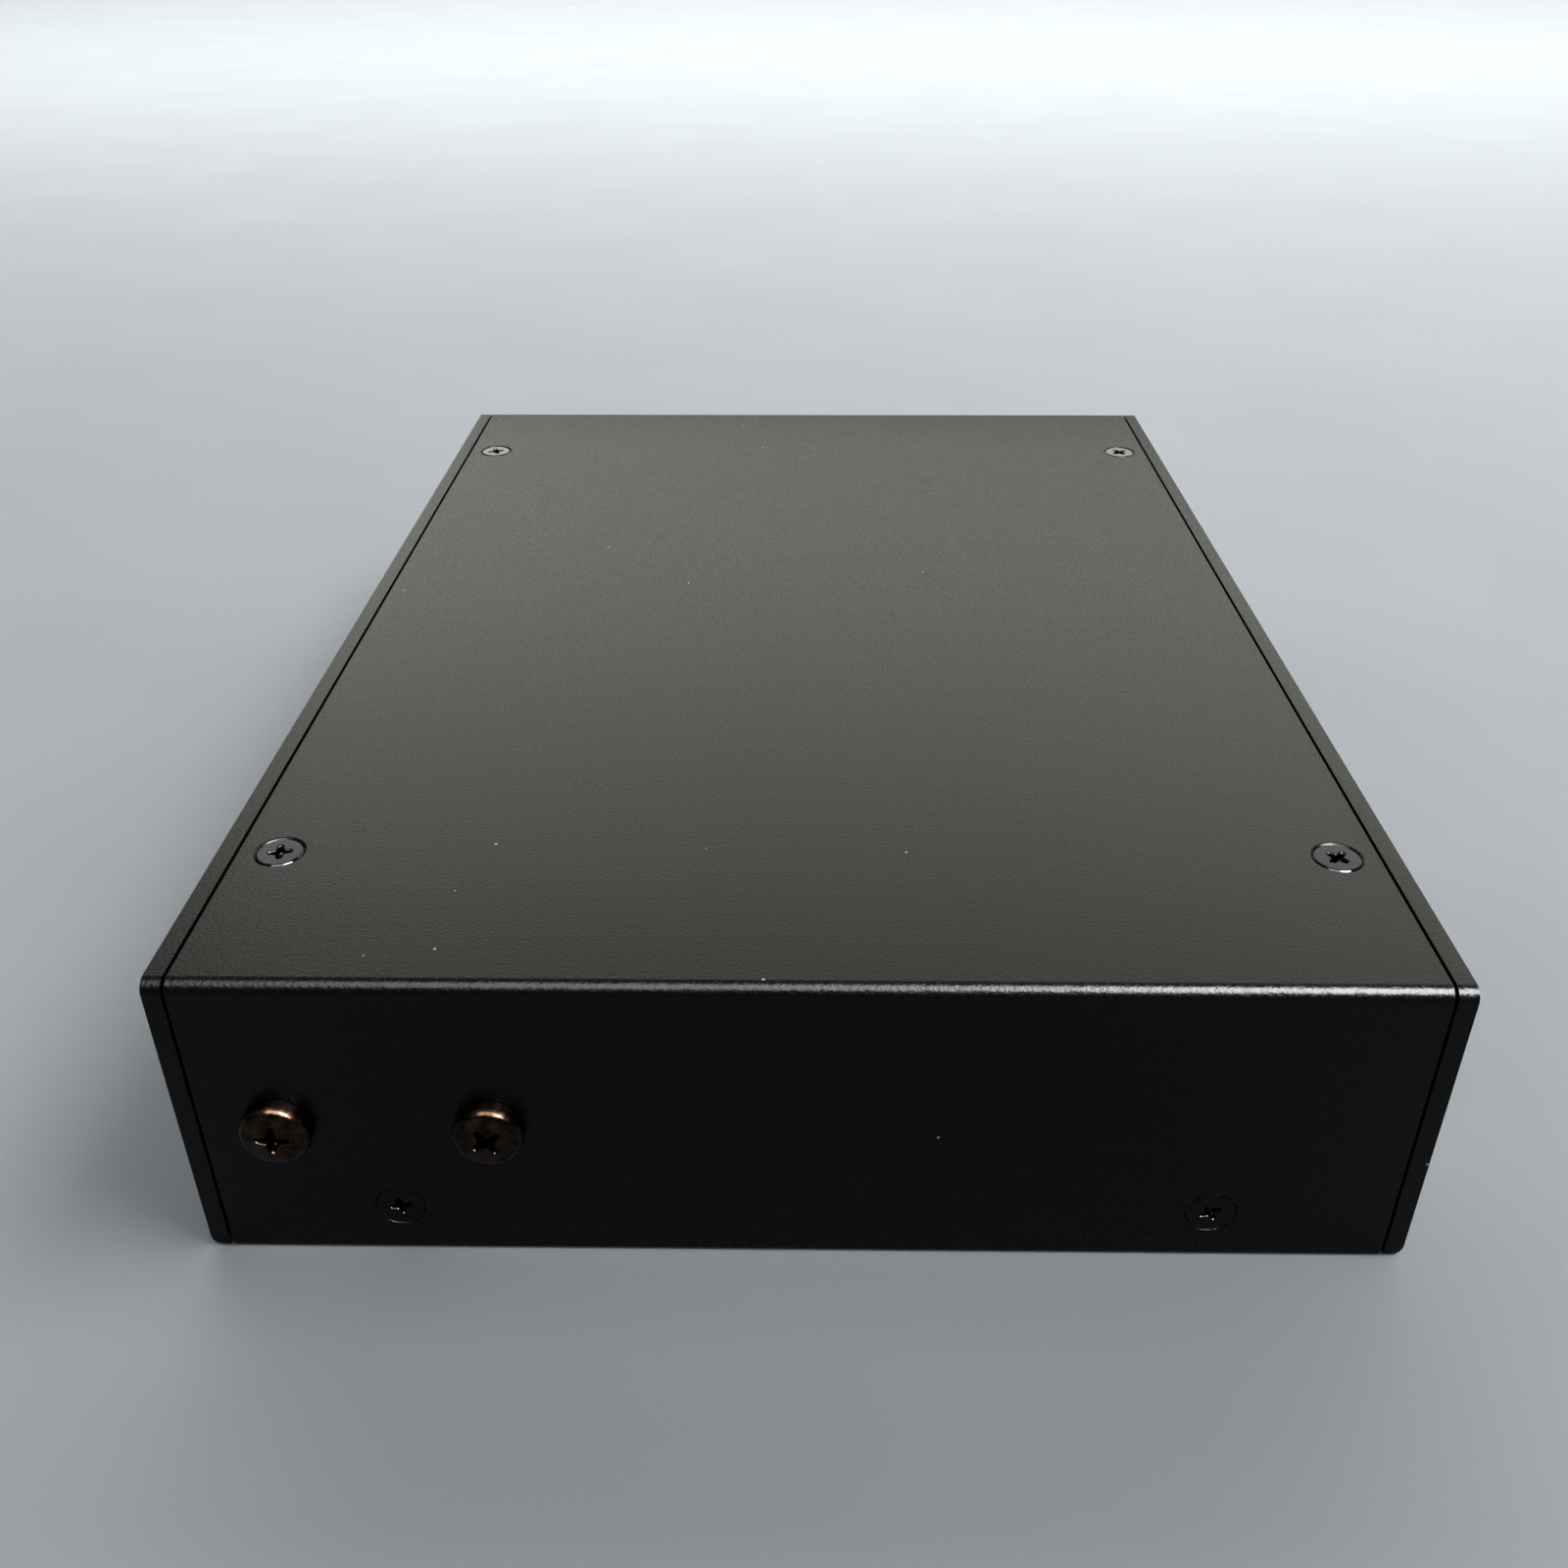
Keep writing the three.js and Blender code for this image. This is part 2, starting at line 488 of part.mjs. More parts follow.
// A bar with an arm at each end, and a slot along it for the module's edge.
function memorySocket() {
  const high = [BOARD_TOP, BOARD_TOP + MEMORY.height];
  const bar = block([MEMORY.x0, MEMORY.x1], [MEMORY.y - MEMORY.bar, MEMORY.y], high);
  const arms = [[MEMORY.x0, MEMORY.x0 + MEMORY.wall], [MEMORY.x1 - MEMORY.wall, MEMORY.x1]].map((x) =>
    block(x, [MEMORY.y - MEMORY.arm, MEMORY.y], high));
  const slot = block(
    [MEMORY.x0 + MEMORY_SLOT.inset, MEMORY.x1 - MEMORY_SLOT.inset],
    [MEMORY.y - MEMORY.bar - PAST, MEMORY.y - MEMORY_SLOT.back],
    [BOARD_TOP + MEMORY_SLOT.from, BOARD_TOP + MEMORY_SLOT.to],
  );
  return cut(join(bar, ...arms), slot);
}

// A small card lying flat, with a row of chips on top and a notch in its contact edge.
function memoryModule() {
  const mid = (MEMORY.x0 + MEMORY.x1) / 2;
  const [z, top] = [BOARD_TOP + MODULE.lift, BOARD_TOP + MODULE.lift + MODULE.thick];
  const edge = MEMORY.y - MODULE.edge;
  const card = block(around(mid, MODULE.length / 2), [edge - MODULE.width, edge], [z, top]);
  const chips = row(MODULE_CHIP).map((x) =>
    block(
      around(mid + x, MODULE_CHIP.half),
      [edge - MODULE_CHIP.from, edge - MODULE_CHIP.to],
      [z + MODULE.thick / 2, top + MODULE_CHIP.high],
    ));
  const keyX = [mid + MODULE_KEY.from, mid + MODULE_KEY.to];
  const key = block(keyX, [edge - MODULE_KEY.deep, edge + PAST], [z - PAST, top + PAST]);
  return cut(join(card, ...chips), key);
}

add("memory_socket", memorySocket(), PLASTIC);
add("memory_module", memoryModule(), LAMINATE);

function storageSocket() {
  const { x0, x1, half, height } = CARD_SOCKET;
  const body = block([x0, x1], around(CARD.y, half), [BOARD_TOP, BOARD_TOP + height]);
  const slotX = [CARD.x0 - CARD_SLOT.slack, x1 + PAST];
  const slotZ = [BOARD_TOP + CARD_SLOT.from, BOARD_TOP + CARD_SLOT.to];
  return cut(body, block(slotX, around(CARD.y, CARD_SLOT.half), slotZ));
}

// A card with two chips, held at its free end by one screw.
function storageCard() {
  const [z, top] = [BOARD_TOP + CARD.lift, BOARD_TOP + CARD.lift + CARD.thick];
  const card = block([CARD.x0, CARD.x1], around(CARD.y, CARD.width / 2), [z, top]);
  const chips = CARD_CHIP.x.map((x) =>
    block([x, x + CARD_CHIP.long], around(CARD.y, CARD_CHIP.half), [z + CARD.thick / 2, top + CARD_CHIP.high]));
  const hole = rod(CARD.bore, z - PAST, top + PAST, "+z", [CARD.x1 - CARD.hole, CARD.y, 0], SIDES.few);
  return cut(join(card, ...chips), hole);
}

add("storage_socket", storageSocket(), PLASTIC);
add("storage_card", storageCard(), LAMINATE);
const CARD_SCREW_AT = [CARD.x1 - CARD.hole, CARD.y, BOARD_TOP + CARD.lift + CARD.thick];
add("storage_screw", panScrew("+z", CARD_SCREW_AT, CARD_SCREW, 0), STEEL);

// A round cup with a gap in its wall, through which the cell is pushed out.
function cellHolder() {
  const at = [CELL.x, CELL.y, 0];
  const floor = BOARD_TOP + CUP.floor;
  const top = BOARD_TOP + CUP.rim + PAST;
  const cup = rod(CUP.radius, BOARD_TOP, BOARD_TOP + CUP.rim, "+z", at, SIDES.many);
  const well = rod(CELL.radius + CELL.slack, floor, top, "+z", at, SIDES.many);
  const gate = block(around(CELL.x, CUP.gate), [CELL.y - CUP.radius - PAST, CELL.y], [floor, top]);
  return cut(cup, well, gate);
}

const CELL_FOOT = BOARD_TOP + CUP.floor + CELL.lift;
add("battery_holder", cellHolder(), PLASTIC);
const cell = rod(CELL.radius, CELL_FOOT, CELL_FOOT + CELL.thick, "+z", [CELL.x, CELL.y, 0], SIDES.many);
add("coin_cell", cell, STEEL);

// ---------------------------------------------------------------- sockets in the port panel

// A shielded eight-way modular jack, with its latch slot under the mouth.
function modularJack(y) {
  const z = BOARD_TOP;
  const body = block([JACK.back, JACK.face], around(y, JACK.width / 2), [z, z + JACK.height]);
  const deep = [JACK.face - MOUTH.depth, JACK.face + PAST];
  const mouth = block(deep, around(y, MOUTH.width / 2), [z + MOUTH.sill, z + MOUTH.sill + MOUTH.height]);
  const latch = block(deep, around(y, LATCH.half), [z + LATCH.from, z + LATCH.to]);
  return cut(body, mouth, latch);
}
LAN_Y.forEach((y, i) => add(`network_jack_${i + 1}`, modularJack(y), STEEL));
add("console_jack", modularJack(CONSOLE_Y), PLASTIC);

// Two stacked type A receptacles in one shell, each with its tongue.
function usbStack() {
  let body = block([USB.back, USB.face], around(USB.y, USB.width / 2), [BOARD_TOP, BOARD_TOP + USB.height]);
  for (const up of USB.floors) {
    const floor = BOARD_TOP + up;
    const mouthX = [USB.face - USB_MOUTH.deep, USB.face + PAST];
    const tongueX = [USB.face - USB_TONGUE.back, USB.face - USB_TONGUE.face];
    const tongueZ = [floor + USB_TONGUE.from, floor + USB_TONGUE.to];
    const mouth = block(mouthX, around(USB.y, USB_MOUTH.half), [floor, floor + USB_MOUTH.high]);
    body = join(cut(body, mouth), block(tongueX, around(USB.y, USB_TONGUE.half), tongueZ));
  }
  return body;
}
add("usb_socket", usbStack(), STEEL);

// A barrel power socket: a block on the board, with a round nose through the panel and a centre pin.
function dcSocket() {
  const front = PANEL_IN - SHEET.slip;
  const at = [front, DC.y, DC.z];
  const rear = block([DC.back, front], around(DC.y, DC.width / 2), [BOARD_TOP, BOARD_TOP + DC.height]);
  const nose = rod(DC_NOSE.radius, -PAST, DC_NOSE.proud, "+x", at, SIDES.many);
  const bore = rod(DC_NOSE.bore, -DC_PIN.deep, DC_NOSE.proud + PAST, "+x", at, SIDES.many);
  const pin = rod(DC_PIN.radius, -DC_PIN.foot, DC_PIN.tip, "+x", at, SIDES.few);
  return join(cut(join(rear, nose), bore), pin);
}
add("dc_socket", dcSocket(), PLASTIC);

// ---------------------------------------------------------------- power switch

const PIVOT_X = HALF_X - PIVOT.in;

// The housing snaps into the panel: a bezel outside, a body with a well and two spade terminals inside.
function switchHousing() {
  const [ly, lz] = [SWITCH.length / 2, SWITCH.height / 2];
  const { y, z } = SWITCH;
  const { flange } = BEZEL;
  const [outY, outZ] = [ly + flange, lz + flange];
  const frame = roundedOutline(y - outY, z - outZ, y + outY, z + outZ, BEZEL.corner);
  const bezel = acrossX(frame, HALF_X, HALF_X + BEZEL.thick, 3);
  const rear = block([SWITCH.back, HALF_X + BITE], around(y, ly), around(z, lz));
  const well = block([PIVOT_X - WELL.deep, HALF_X + BEZEL.thick + PAST], around(y, WELL.y), around(z, WELL.z));
  const bearing = rod(PIVOT.radius + PIVOT.slack, -lz - PAST, lz + PAST, "+z", [PIVOT_X, y, z]);
  const spades = [-SPADE.offset, SPADE.offset].map((dy) =>
    block([SPADE.tip, SWITCH.back + PAST], around(y + dy, SPADE.half), around(z, SPADE.high)));
  return join(cut(join(bezel, rear), well, bearing), ...spades);
}

// The rocker, drawn level about its pivot and then tipped to its off position. Its face is a shallow valley.
function switchRocker() {
  const { half, face, high, pin, back, waist } = ROCKER;
  const rise = half * Math.tan(THREE.MathUtils.degToRad(SWITCH.tilt));
  const outline = new THREE.Shape();
  outline.moveTo(face, 0);
  outline.lineTo(face + rise, half);
  outline.lineTo(waist, half);
  outline.absarc(0, 0, back, Math.PI / 3, (5 * Math.PI) / 3);
  outline.lineTo(waist, -half);
  outline.lineTo(face + rise, -half);
  return join(upright(outline, -high, high, 8), rod(PIVOT.radius, -pin, pin, "+z", [0, 0, 0]));
}

add("power_switch_housing", switchHousing(), PLASTIC);
const rocker = add("power_rocker", switchRocker(), PLASTIC);
rocker.position.set(PIVOT_X, SWITCH.y, SWITCH.z);
rocker.rotation.z = THREE.MathUtils.degToRad(-SWITCH.tilt);

// Two leads run from the spades down to a header on the board, the outer one looping round the inner.
const HEADER_TOP = BOARD_TOP + HEADER.high;
const header = block(around(HEADER.x, HEADER.halfX), around(HEADER.y, HEADER.halfY), [BOARD_TOP, HEADER_TOP]);
add("switch_header", header, IVORY);

const LEAD = { radius: 0.8, steps: 12, sides: 6, gap: 0.5, pin: 1.5 };
const LEAD_ROUTES = [
  [[42.7, -80.6, 19], [37, -80.6, 19], [33, -72, 19.5], [40, -64.3, 20.4], [44.2, -64, 18.6]],
  [[42.7, -71.4, 19], [40.6, -71.2, 19.4], [41.6, -68, 20.5], [46.2, -65, 20], [47.5, -64, 18]],
];
LEAD_ROUTES.forEach((bends, i) => {
  const foot = [HEADER.x + (i ? LEAD.pin : -LEAD.pin), HEADER.y, HEADER_TOP + LEAD.gap];
  const route = new THREE.CatmullRomCurve3([...bends, foot].map((point) => new THREE.Vector3(...point)));
  const section = new THREE.Shape().absarc(0, 0, LEAD.radius, 0, 2 * Math.PI);
  const options = { steps: LEAD.steps, curveSegments: LEAD.sides, bevelEnabled: false, extrudePath: route };
  add(`switch_lead_${i + 1}`, solid(new THREE.ExtrudeGeometry(section, options)), i ? PLASTIC : RED);
});

// ---------------------------------------------------------------- reset button

function resetSwitch() {
  const { x0, x1, half, high, well } = RESET_BODY;
  const body = block([x0, x1], around(RESET.y, half), [BOARD_TOP, BOARD_TOP + high]);
  return cut(body, rod(RESET.plunger + RESET.guide, well, x1 + PAST, "+x", [0, RESET.y, RESET.z]));
}
const PLUNGER_FOOT = RESET_BODY.well + RESET.travel + RESET.guide;
add("reset_switch", resetSwitch(), PLASTIC);
const plunger = rod(RESET.plunger, PLUNGER_FOOT, HALF_X - RESET.sunk, "+x", [0, RESET.y, RESET.z]);
add("reset_plunger", plunger, IVORY);

// ---------------------------------------------------------------- light pipes, ground screw, power parts

// A stem from the board's edge, a collar that stops inside the panel, and a low dome outside it.
function lightPipe(y) {
  const r = LIGHTS.radius;
  const collarBack = PANEL_IN - PIPE.collarLong;
  const collarFace = PANEL_IN - PIPE.gap;
  const domeTop = HALF_X + PIPE_DOME.high;
  const profile = [[0, PIPE.end], [PIPE.stem, PIPE.end], [PIPE.stem, collarBack], [PIPE.collar, collarBack],
    [PIPE.collar, collarFace], [r, collarFace], [r, HALF_X + PIPE_DOME.side], [PIPE_DOME.flat * r, domeTop],
    [0, domeTop]];
  return turned(profile, "-x", [0, y, LIGHTS.z], 10);
}
LIGHTS.y.forEach((y, i) => add(`light_pipe_${i + 1}`, lightPipe(y), CLEAR));

const washerAt = [HALF_X, GROUND.y, GROUND.z];
const washer = rod(GROUND.washer, 0, GROUND.thick, "+x", washerAt, SIDES.many);
const screwAt = [HALF_X + GROUND.thick, GROUND.y, GROUND.z];
add("ground_washer", cut(washer, rod(GROUND.bore, -PAST, GROUND.thick + PAST, "+x", washerAt)), STEEL);
add("ground_screw", panScrew("+x", screwAt, PAN_SCREW, EAR_TURN[0]), STEEL);

CHOKE.y.forEach((y, i) => {
  const outline = roundedOutline(CHOKE.x0, y - CHOKE.half, CHOKE.x1, y + CHOKE.half, BOARD.corner);
  add(`choke_${i + 1}`, upright(outline, BOARD_TOP, BOARD_TOP + CHOKE.high, 3), CHIP);
});
const canTop = BOARD_TOP + CAPACITOR.high;
const can = rod(CAPACITOR.radius, BOARD_TOP, canTop, "+z", [CAPACITOR.x, CAPACITOR.y, 0], SIDES.many);
add("capacitor", can, ALUMINIUM);

export default group;
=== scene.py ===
"""A small fanless firewall appliance in a black powder-coated sheet-steel case."""

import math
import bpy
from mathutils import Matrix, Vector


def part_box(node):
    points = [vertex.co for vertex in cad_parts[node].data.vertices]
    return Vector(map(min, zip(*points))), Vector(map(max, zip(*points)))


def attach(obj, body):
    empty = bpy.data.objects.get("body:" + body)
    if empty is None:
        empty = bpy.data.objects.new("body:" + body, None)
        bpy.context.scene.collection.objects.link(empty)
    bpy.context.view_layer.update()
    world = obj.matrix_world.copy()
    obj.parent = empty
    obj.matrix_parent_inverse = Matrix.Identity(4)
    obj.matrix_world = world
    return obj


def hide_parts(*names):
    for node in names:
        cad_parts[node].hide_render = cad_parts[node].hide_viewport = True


bl_info = {
    "name": "Firewall appliance",
    "version": (1, 0, 0),
    "blender": (4, 5, 0),
    "location": "View3D > Sidebar > Appliance",
    "description": "Builds the case, screws, sockets, switch and lights of a small firewall appliance",
    "category": "Object",
}

import bmesh
import bpy
import numpy as np
from mathutils import Matrix, Vector

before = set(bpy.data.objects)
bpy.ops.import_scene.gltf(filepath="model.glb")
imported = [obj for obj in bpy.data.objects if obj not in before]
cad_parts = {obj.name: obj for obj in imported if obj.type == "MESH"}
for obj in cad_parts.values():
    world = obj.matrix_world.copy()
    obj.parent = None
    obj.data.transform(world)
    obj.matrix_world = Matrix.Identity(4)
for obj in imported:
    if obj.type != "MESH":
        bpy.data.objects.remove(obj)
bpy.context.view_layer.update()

MM = 0.001

# ------------------------------------------------------------------ sizes that the CAD nodes give


def span(node):
    """A node's lowest and highest corner in millimetres, as two arrays."""
    low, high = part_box(node)
    return np.array(low) / MM, np.array(high) / MM


def middle(node):
    """The middle of a node's box, in millimetres."""
    low, high = span(node)
    return (low + high) / 2


CASE_HIGH = span("base_chassis")[1]
COVER_LOW, COVER_HIGH = span("top_cover")
HALF_X = CASE_HIGH[0]
HALF_Y = CASE_HIGH[1]
TALL = CASE_HIGH[2]
# How far a cutting shape reaches past the surface it cuts.
PAST = 1


def numbered(stem, count):
    """The names stem_1 to stem_count."""
    return [f"{stem}_{i + 1}" for i in range(count)]


TOP_SCREWS = numbered("cover_screw_top", 4)
SIDE_SCREWS = numbered("cover_screw_side", 4)
EAR_SCREWS = numbered("ear_screw_near", 2) + numbered("ear_screw_far", 2)
NETWORK_JACKS = numbered("network_jack", 4)
JACKS = NETWORK_JACKS + ["console_jack"]
LIGHT_PIPES = numbered("light_pipe", 6)

# ------------------------------------------------------------------ settings


def length(name, description, default):
    """A length property, its default given in millimetres."""
    return bpy.props.FloatProperty(
        name=name, description=description, default=default * MM, min=0, unit="LENGTH", precision=5
    )


def tint(name, description, default):
    """A colour property, its default given as an sRGB hex value."""
    return bpy.props.FloatVectorProperty(
        name=name, description=description, default=linear(default), size=3, min=0, max=1, subtype="COLOR"
    )


def linear(hex_value):
    """An sRGB hex value as linear red, green and blue."""
    channels = [((hex_value >> shift) & 255) / 255 for shift in (16, 8, 0)]
    return tuple(c / 12.92 if c <= 0.04045 else ((c + 0.055) / 1.055) ** 2.4 for c in channels)


class CaseSizes(bpy.types.PropertyGroup):
    panel: length("Panel sheet", "Thickness of the tray and both end panels", 2.0)
    cover: length("Cover sheet", "Thickness of the top cover", 1.2)
    bend: length("Bend radius", "Outer radius of each bend", 1.5)
    foot: length("Foot radius", "Radius of the end panels' lower corners", 0.4)
    slip: length("Slip", "Gap between the cover and the lips inside it", 0.3)
    edge: length("Edge break", "Rounding that the paint leaves on a cut edge", 0.14)
    sink: length("Countersink", "Diameter of the countersink at the painted surface", 5.8)


class ScrewSizes(bpy.types.PropertyGroup):
    flat_head: length("Flat head", "Diameter of the countersunk heads", 5.35)
    flat_thread: length("Flat thread", "Thread diameter of the countersunk screws", 3.0)
    pan_head: length("Pan head", "Diameter of the ear screws' heads", 7.6)
    pan_height: length("Pan height", "Height of the ear screws' heads", 2.5)
    pan_thread: length("Pan thread", "Thread diameter of the ear screws", 4.0)


class Colours(bpy.types.PropertyGroup):
    powder: tint("Powder coat", "Black polyester powder coat on the case", 0x0D0E0F)
    zinc: tint("Cover screws", "Black zinc plate on the countersunk screws", 0x2D2E30)
    tarnish: tint("Ear screws", "Brown tarnished plate on the ear screws", 0x42362E)
    nickel: tint("Nickel plate", "Bright plate on sockets, washers and small screws", 0xBEBFC2)
    nylon: tint("Nylon", "Black moulded nylon of the switch and sockets", 0x151516)
    floor: tint("Floor", "Plain pale floor", 0xC4C8CD)


def sizes():
    return bpy.context.scene.case_sizes


def screws():
    return bpy.context.scene.screw_sizes


def colours():
    return bpy.context.scene.colours


def shades(colour, spread=0.15):
    """A darker and a lighter shade of a linear colour."""
    colour = np.array(colour)
    return tuple(colour * (1 - spread)), tuple(colour * (1 + spread))


def pair(darker, lighter):
    """Two sRGB hex values as linear colours."""
    return linear(darker), linear(lighter)


# ------------------------------------------------------------------ surfaces


def grid_faces(rows, columns, wrap=False):
    """The quads of a grid of rows by columns points, numbered row by row.
    With wrap, the last column is joined to the first."""
    last = columns if wrap else columns - 1
    row, column = np.meshgrid(np.arange(rows - 1), np.arange(last), indexing="ij")
    after = (column + 1) % columns
    here, next_row = row * columns, (row + 1) * columns
    corners = [here + column, here + after, next_row + after, next_row + column]
    return np.stack(corners, -1).reshape(-1, 4).tolist()


def prism(outline, axis, start, stop):
    """An outline carried straight along an axis: point + t * axis for t from start to stop, with flat ends.
    The outline's two coordinates are the other two axes in X, Y, Z order."""
    outline = np.asarray(outline, float)
    count = len(outline)
    flat = [i for i in range(3) if i != axis]
    points = np.zeros((2, count, 3))
    points[:, :, flat] = outline
    points[0, :, axis] = start
    points[1, :, axis] = stop
    faces = grid_faces(2, count, True)
    return points.reshape(-1, 3), faces + [list(range(count))[::-1], list(range(count, 2 * count))]


def brick(low, high):
    """A block between two corners."""
    (x0, y0, z0), (x1, y1, z1) = low, high
    return prism([(x0, y0), (x1, y0), (x1, y1), (x0, y1)], 2, z0, z1)


def rounded(u0, v0, u1, v1, radius, steps=6, low=None):
    """A rectangle whose corners are quarter circles, centre + radius * (cos, sin) of evenly spaced angles.
    The lower two corners can have their own radius, low."""
    low = radius if low is None else low
    turn = np.linspace(0, math.pi / 2, steps + 1)
    corners = [
        (u1 - low, v0 + low, low, -math.pi / 2),
        (u1 - radius, v1 - radius, radius, 0),
        (u0 + radius, v1 - radius, radius, math.pi / 2),
        (u0 + low, v0 + low, low, math.pi),
    ]
    arcs = [np.stack([u + r * np.cos(turn + a), v + r * np.sin(turn + a)], -1) for u, v, r, a in corners]
    return np.concatenate(arcs)


# For each way that a turned piece can face: the two directions across it and the one along it.
AXES = {
    "+x": ((0, 1, 0), (0, 0, 1), (1, 0, 0)),
    "-x": ((0, -1, 0), (0, 0, 1), (-1, 0, 0)),
    "+y": ((-1, 0, 0), (0, 0, 1), (0, 1, 0)),
    "-y": ((1, 0, 0), (0, 0, 1), (0, -1, 0)),
    "+z": ((1, 0, 0), (0, 1, 0), (0, 0, 1)),
}


def turned(profile, towards, at, sides=64, dent=None, spin=0.0):
    """A profile of (radius, height) turned about an axis: centre + r cos(a) u + r sin(a) v + h w.
    dent(x, y) is a depth taken off the height of the points above the profile's widest ring."""
    profile = np.asarray(profile, float)
    angle = np.arange(sides) * 2 * math.pi / sides
    r, h = profile[:, :1], profile[:, 1:]
    x, y = r * np.cos(angle), r * np.sin(angle)
    z = h + np.zeros_like(x)
    if dent is not None:
        turn_x = x * math.cos(spin) + y * math.sin(spin)
        turn_y = y * math.cos(spin) - x * math.sin(spin)
        top = np.arange(len(profile))[:, None] >= int(np.argmax(profile[:, 0]))
        z = z - np.where(top, dent(turn_x, turn_y), 0)
    u, v, w = (np.array(direction, float) for direction in AXES[towards])
    points = np.asarray(at, float) + x[..., None] * u + y[..., None] * v + z[..., None] * w
    return points.reshape(-1, 3), grid_faces(len(profile), sides, True)


def joined(parts):
    """Several (points, faces) as one."""
    points, faces, count = [], [], 0
    for part_points, part_faces in parts:
        points.append(part_points)
        faces += [[i + count for i in face] for face in part_faces]
        count += len(part_points)
    return np.concatenate(points), faces


# Edges sharper than this stay crisp.
CRISP = math.radians(35)


def mesh_of(name, parts, smooth=CRISP):
    """A mesh object of these parts, in metres, its doubles merged and its faces pointing out."""
    points, faces = joined(parts)
    mesh = bpy.data.meshes.new(name)
    mesh.from_pydata((points * MM).tolist(), [], faces)
    bm = bmesh.new()
    bm.from_mesh(mesh)
    bmesh.ops.remove_doubles(bm, verts=bm.verts, dist=1e-7)
    bmesh.ops.dissolve_degenerate(bm, edges=bm.edges, dist=1e-8)
    bmesh.ops.recalc_face_normals(bm, faces=bm.faces)
    bm.to_mesh(mesh)
    bm.free()
    piece = bpy.data.objects.new(name, mesh)
    bpy.context.scene.collection.objects.link(piece)
    shade(mesh, smooth)
    return piece


def shade(mesh, angle):
    """Smooth shading, with every edge sharper than angle kept crisp."""
    mesh.polygons.foreach_set("use_smooth", [True] * len(mesh.polygons))
    mesh.set_sharp_from_angle(angle=angle)
    mesh.update()


def carve(piece, parts, operation="DIFFERENCE"):
    """Cuts, joins or intersects a piece with these parts and keeps the result as its mesh."""
    tool = mesh_of("tool", parts)
    modifier = piece.modifiers.new("carve", "BOOLEAN")
    modifier.object = tool
    modifier.operation = operation
    modifier.solver = "EXACT"
    result = bpy.data.meshes.new_from_object(piece.evaluated_get(bpy.context.evaluated_depsgraph_get()))
    before = piece.data
    piece.modifiers.clear()
    piece.data = result
    result.name = piece.name
    bpy.data.meshes.remove(before)
    bpy.data.meshes.remove(tool.data)
    shade(result, CRISP)


def break_edges(piece, width, segments=2, angle=40):
    """Rounds a piece's sharp edges, as paint or a mould does."""
    bevel = piece.modifiers.new("edge break", "BEVEL")
    bevel.width = width * MM
    bevel.segments = segments
    bevel.limit_method = "ANGLE"
    bevel.angle_limit = math.radians(angle)
    bevel.harden_normals = True


def place(piece, material, body="case", stands_for=()):
    """Gives a finished piece its material and ties it to the frame."""
    piece.data.materials.clear()
    piece.data.materials.append(material)
    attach(piece, body)
    if stands_for:
        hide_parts(*stands_for)


def dress(node, material, edge=0.0):
    """Gives a CAD node its material, and breaks its edges by a width of edge millimetres."""
    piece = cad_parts[node]
    piece.data.materials.clear()
    piece.data.materials.append(material)
    if edge:
        weld = piece.modifiers.new("weld", "WELD")
        weld.merge_threshold = 0.002 * MM
        flat = piece.modifiers.new("flat faces", "DECIMATE")
        flat.decimate_type = "DISSOLVE"
        flat.angle_limit = math.radians(1)
        break_edges(piece, edge)


# ------------------------------------------------------------------ materials

_finishes = {}


def add_node(tree, kind, settings=None, **links):
    """Adds a shader node, sets its properties and input values, and links its inputs.
    Input names use _ for spaces, and i0, i1 and so on mean an input by its number."""
    node = tree.nodes.new(kind)
    for key, value in (settings or {}).items():
        if hasattr(node, key):
            setattr(node, key, value)
        else:
            node.inputs[key].default_value = value
    for key, source in links.items():
        name = key.replace("_", " ")
        by_number = name[:1] == "i" and name[1:].isdigit()
        tree.links.new(source, node.inputs[int(name[1:]) if by_number else name])
    return node


def ramp(tree, source, stops):
    """A colour ramp over source, from (position, colour) stops."""
    node = add_node(tree, "ShaderNodeValToRGB", Fac=source)
    elements = node.color_ramp.elements
    while len(elements) < len(stops):
        elements.new(0.5)
    for element, (position, colour) in zip(elements, stops):
        element.position = position
        element.color = (*colour, 1)
    return node.outputs["Color"]


def grey(value):
    """A linear colour with three equal channels."""
    return (value, value, value)


# The size of the soft patches in every finish's colour, in millimetres.
PATCH = 14


